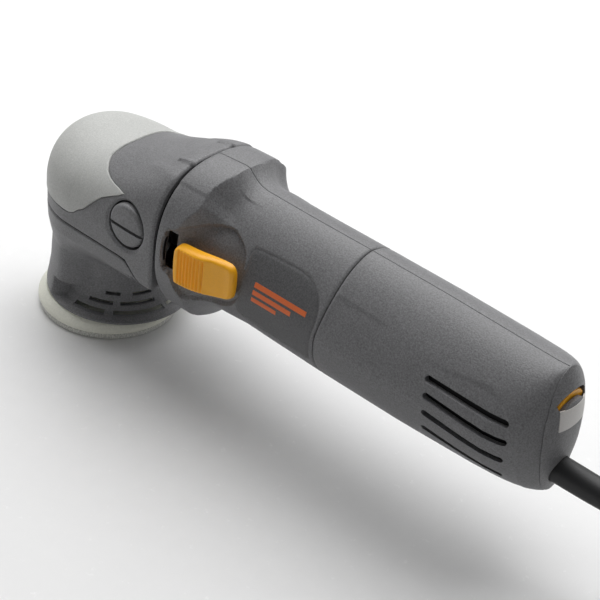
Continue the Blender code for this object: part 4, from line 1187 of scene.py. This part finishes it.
def make_plate(m):
    """Foam backing plate, hook pad and the screw through them."""
    prof = rounded([(3.4, 3.3), (36.9, 3.3), (37.5, 4.4), (37.3, 6.0), (36.0, 8.2), (33.6, 10.2),
                    (14.0, 10.2), (3.4, 10.2)], 0.5, 4)
    foam = turned("backing_plate", prof, m["cream"], 144, "z", PLATE_AT, 40.0)
    place(foam, "plate", "cream_foam", "plate_foam")
    prof = rounded([(4.8, 0.0), (36.5, 0.0), (36.5, 3.0), (4.8, 3.0)], 0.5, 3)
    hook = turned("hook_pad", prof, m["hook"], 144, "z", PLATE_AT, 40.0)
    place(hook, "plate", "hook_fabric", "hook_disc")
    prof = rounded([(0.0, 1.0), (1.6, 1.0), (2.1, 0.6), (4.4, 0.6), (4.4, 3.0), (2.7, 3.0), (2.7, 28.0),
                    (0.0, 28.0)], 0.2, 2)
    screw = turned("pad_screw", prof, m["steel"], 48, "z", PLATE_AT, 40.0)
    ang = np.radians(60.0 * np.arange(6))
    cx, cy, _ = PLATE_AT
    hexagon = [np.stack([cx + 2.0 * np.cos(ang), cy + 2.0 * np.sin(ang), np.full(6, z)], axis=-1)
               for z in (-0.5, 2.6)]
    combine(screw, [capped("hex", hexagon, m["steel"])], sharp=40.0)
    place(screw, "plate", "steel", "plate_screw")


# ---------------------------------------------------------------- carried-over pieces
LOOKS = {
    "steel": "armature_shaft bevel_gear brush_spring_left brush_spring_right eccentric_bearing eccentric_hub"
             " front_bearing pinion plate_hub rear_bearing spindle_bearing_lower spindle_bearing_upper"
             " spindle_shaft",
    "lamination": "armature_core stator_core",
    "alloy": "bearing_retainer gear_case",
    "brass": "brush_holder_left brush_holder_right",
    "carbon": "carbon_brush_left carbon_brush_right",
    "segments": "commutator",
    "winding": "field_coil_lower field_coil_upper",
    "black": "cooling_fan cord_clamp fan_baffle slide_rod speed_pot switch_module",
}


def finish_nodes(m):
    """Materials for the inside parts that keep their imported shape."""
    for look, names in LOOKS.items():
        for name in names.split():
            mesh = NODES[name].data
            mesh.materials.clear()
            mesh.materials.append(m[look])


def make_floor(mat):
    """Plain ground just under the object."""
    bpy.ops.mesh.primitive_plane_add(size=8.0, location=(0.0, 0.0, -0.0002))
    floor = bpy.context.object
    floor.name = "floor"
    floor.data.materials.clear()
    floor.data.materials.append(mat)


make_camera()
make_studio()
M = {
    "grey": shade("grip_plastic", (0.165, 0.165, 0.17), 0.5, grain=1300.0, depth=0.6, speck=0.32, tint=0.62),
    "cap": shade("cap_rubber", (0.45, 0.455, 0.44), 0.62, grain=1400.0, depth=0.4, speck=0.14),
    "black": shade("black_plastic", (0.009, 0.009, 0.010), 0.5, depth=0.25, speck=0.2, shine=0.25),
    "rubber": shade("cord_rubber", (0.012, 0.012, 0.013), 0.48, grain=1100.0, depth=0.2, speck=0.2),
    "orange": shade("orange_plastic", (1.0, 0.46, 0.01), 0.38, grain=1600.0, depth=0.12, speck=0.05),
    "mark": shade("orange_mark", (0.78, 0.16, 0.035), 0.5, grain=1600.0, depth=0.1, speck=0.06),
    "cream": shade("cream_foam", (0.86, 0.86, 0.76), 0.75, grain=900.0, depth=0.5, speck=0.05),
    "hook": shade("hook_fabric", (0.66, 0.66, 0.62), 0.95, grain=1400.0, depth=1.0, speck=0.35),
    "label": shade("label_plate", (0.62, 0.60, 0.58), 0.45, grain=1300.0, depth=0.1, speck=0.05),
    "steel": shade("steel", (0.56, 0.56, 0.57), 0.34, 1.0, grain=900.0, depth=0.1, speck=0.06),
    "nickel": shade("nickel", (0.72, 0.70, 0.66), 0.25, 1.0, grain=900.0, depth=0.05, speck=0.05),
    "alloy": shade("cast_alloy", (0.5, 0.5, 0.5), 0.5, 1.0, grain=700.0, depth=0.4, speck=0.1),
    "lamination": shade("lamination", (0.35, 0.35, 0.36), 0.42, 1.0, grain=900.0, depth=0.1,
                        stripes=("X", 400.0, 0.7)),
    "winding": shade("winding", (0.72, 0.34, 0.16), 0.35, 1.0, grain=900.0, depth=0.2,
                     stripes=("DIAGONAL", 260.0, 0.55)),
    "segments": shade("commutator", (0.78, 0.44, 0.27), 0.3, 1.0, grain=900.0, depth=0.1,
                      stripes=("Y", 120.0, 0.7)),
    "brass": shade("brass", (0.72, 0.56, 0.28), 0.35, 1.0, grain=900.0, depth=0.1, speck=0.06),
    "carbon": shade("carbon", (0.03, 0.03, 0.032), 0.75, grain=1400.0, depth=0.4, speck=0.2),
    "floor": shade("floor", (0.80, 0.80, 0.80), 0.6, grain=90.0, depth=0.0, speck=0.01, smudge=0.01),
}
make_floor(M["floor"])
cord, coil = make_cord(M["rubber"])
plug_pieces = make_plug(M, coil)
guard = make_guard(M)
make_head(M)
make_shroud(M)
make_barrel(M)
make_gap_shade_ring(M)
make_vent_shade_sheets(M)
make_insert(M)
make_slider(M)
make_bars(M)
make_end(M)
make_plate(M)
finish_nodes(M)
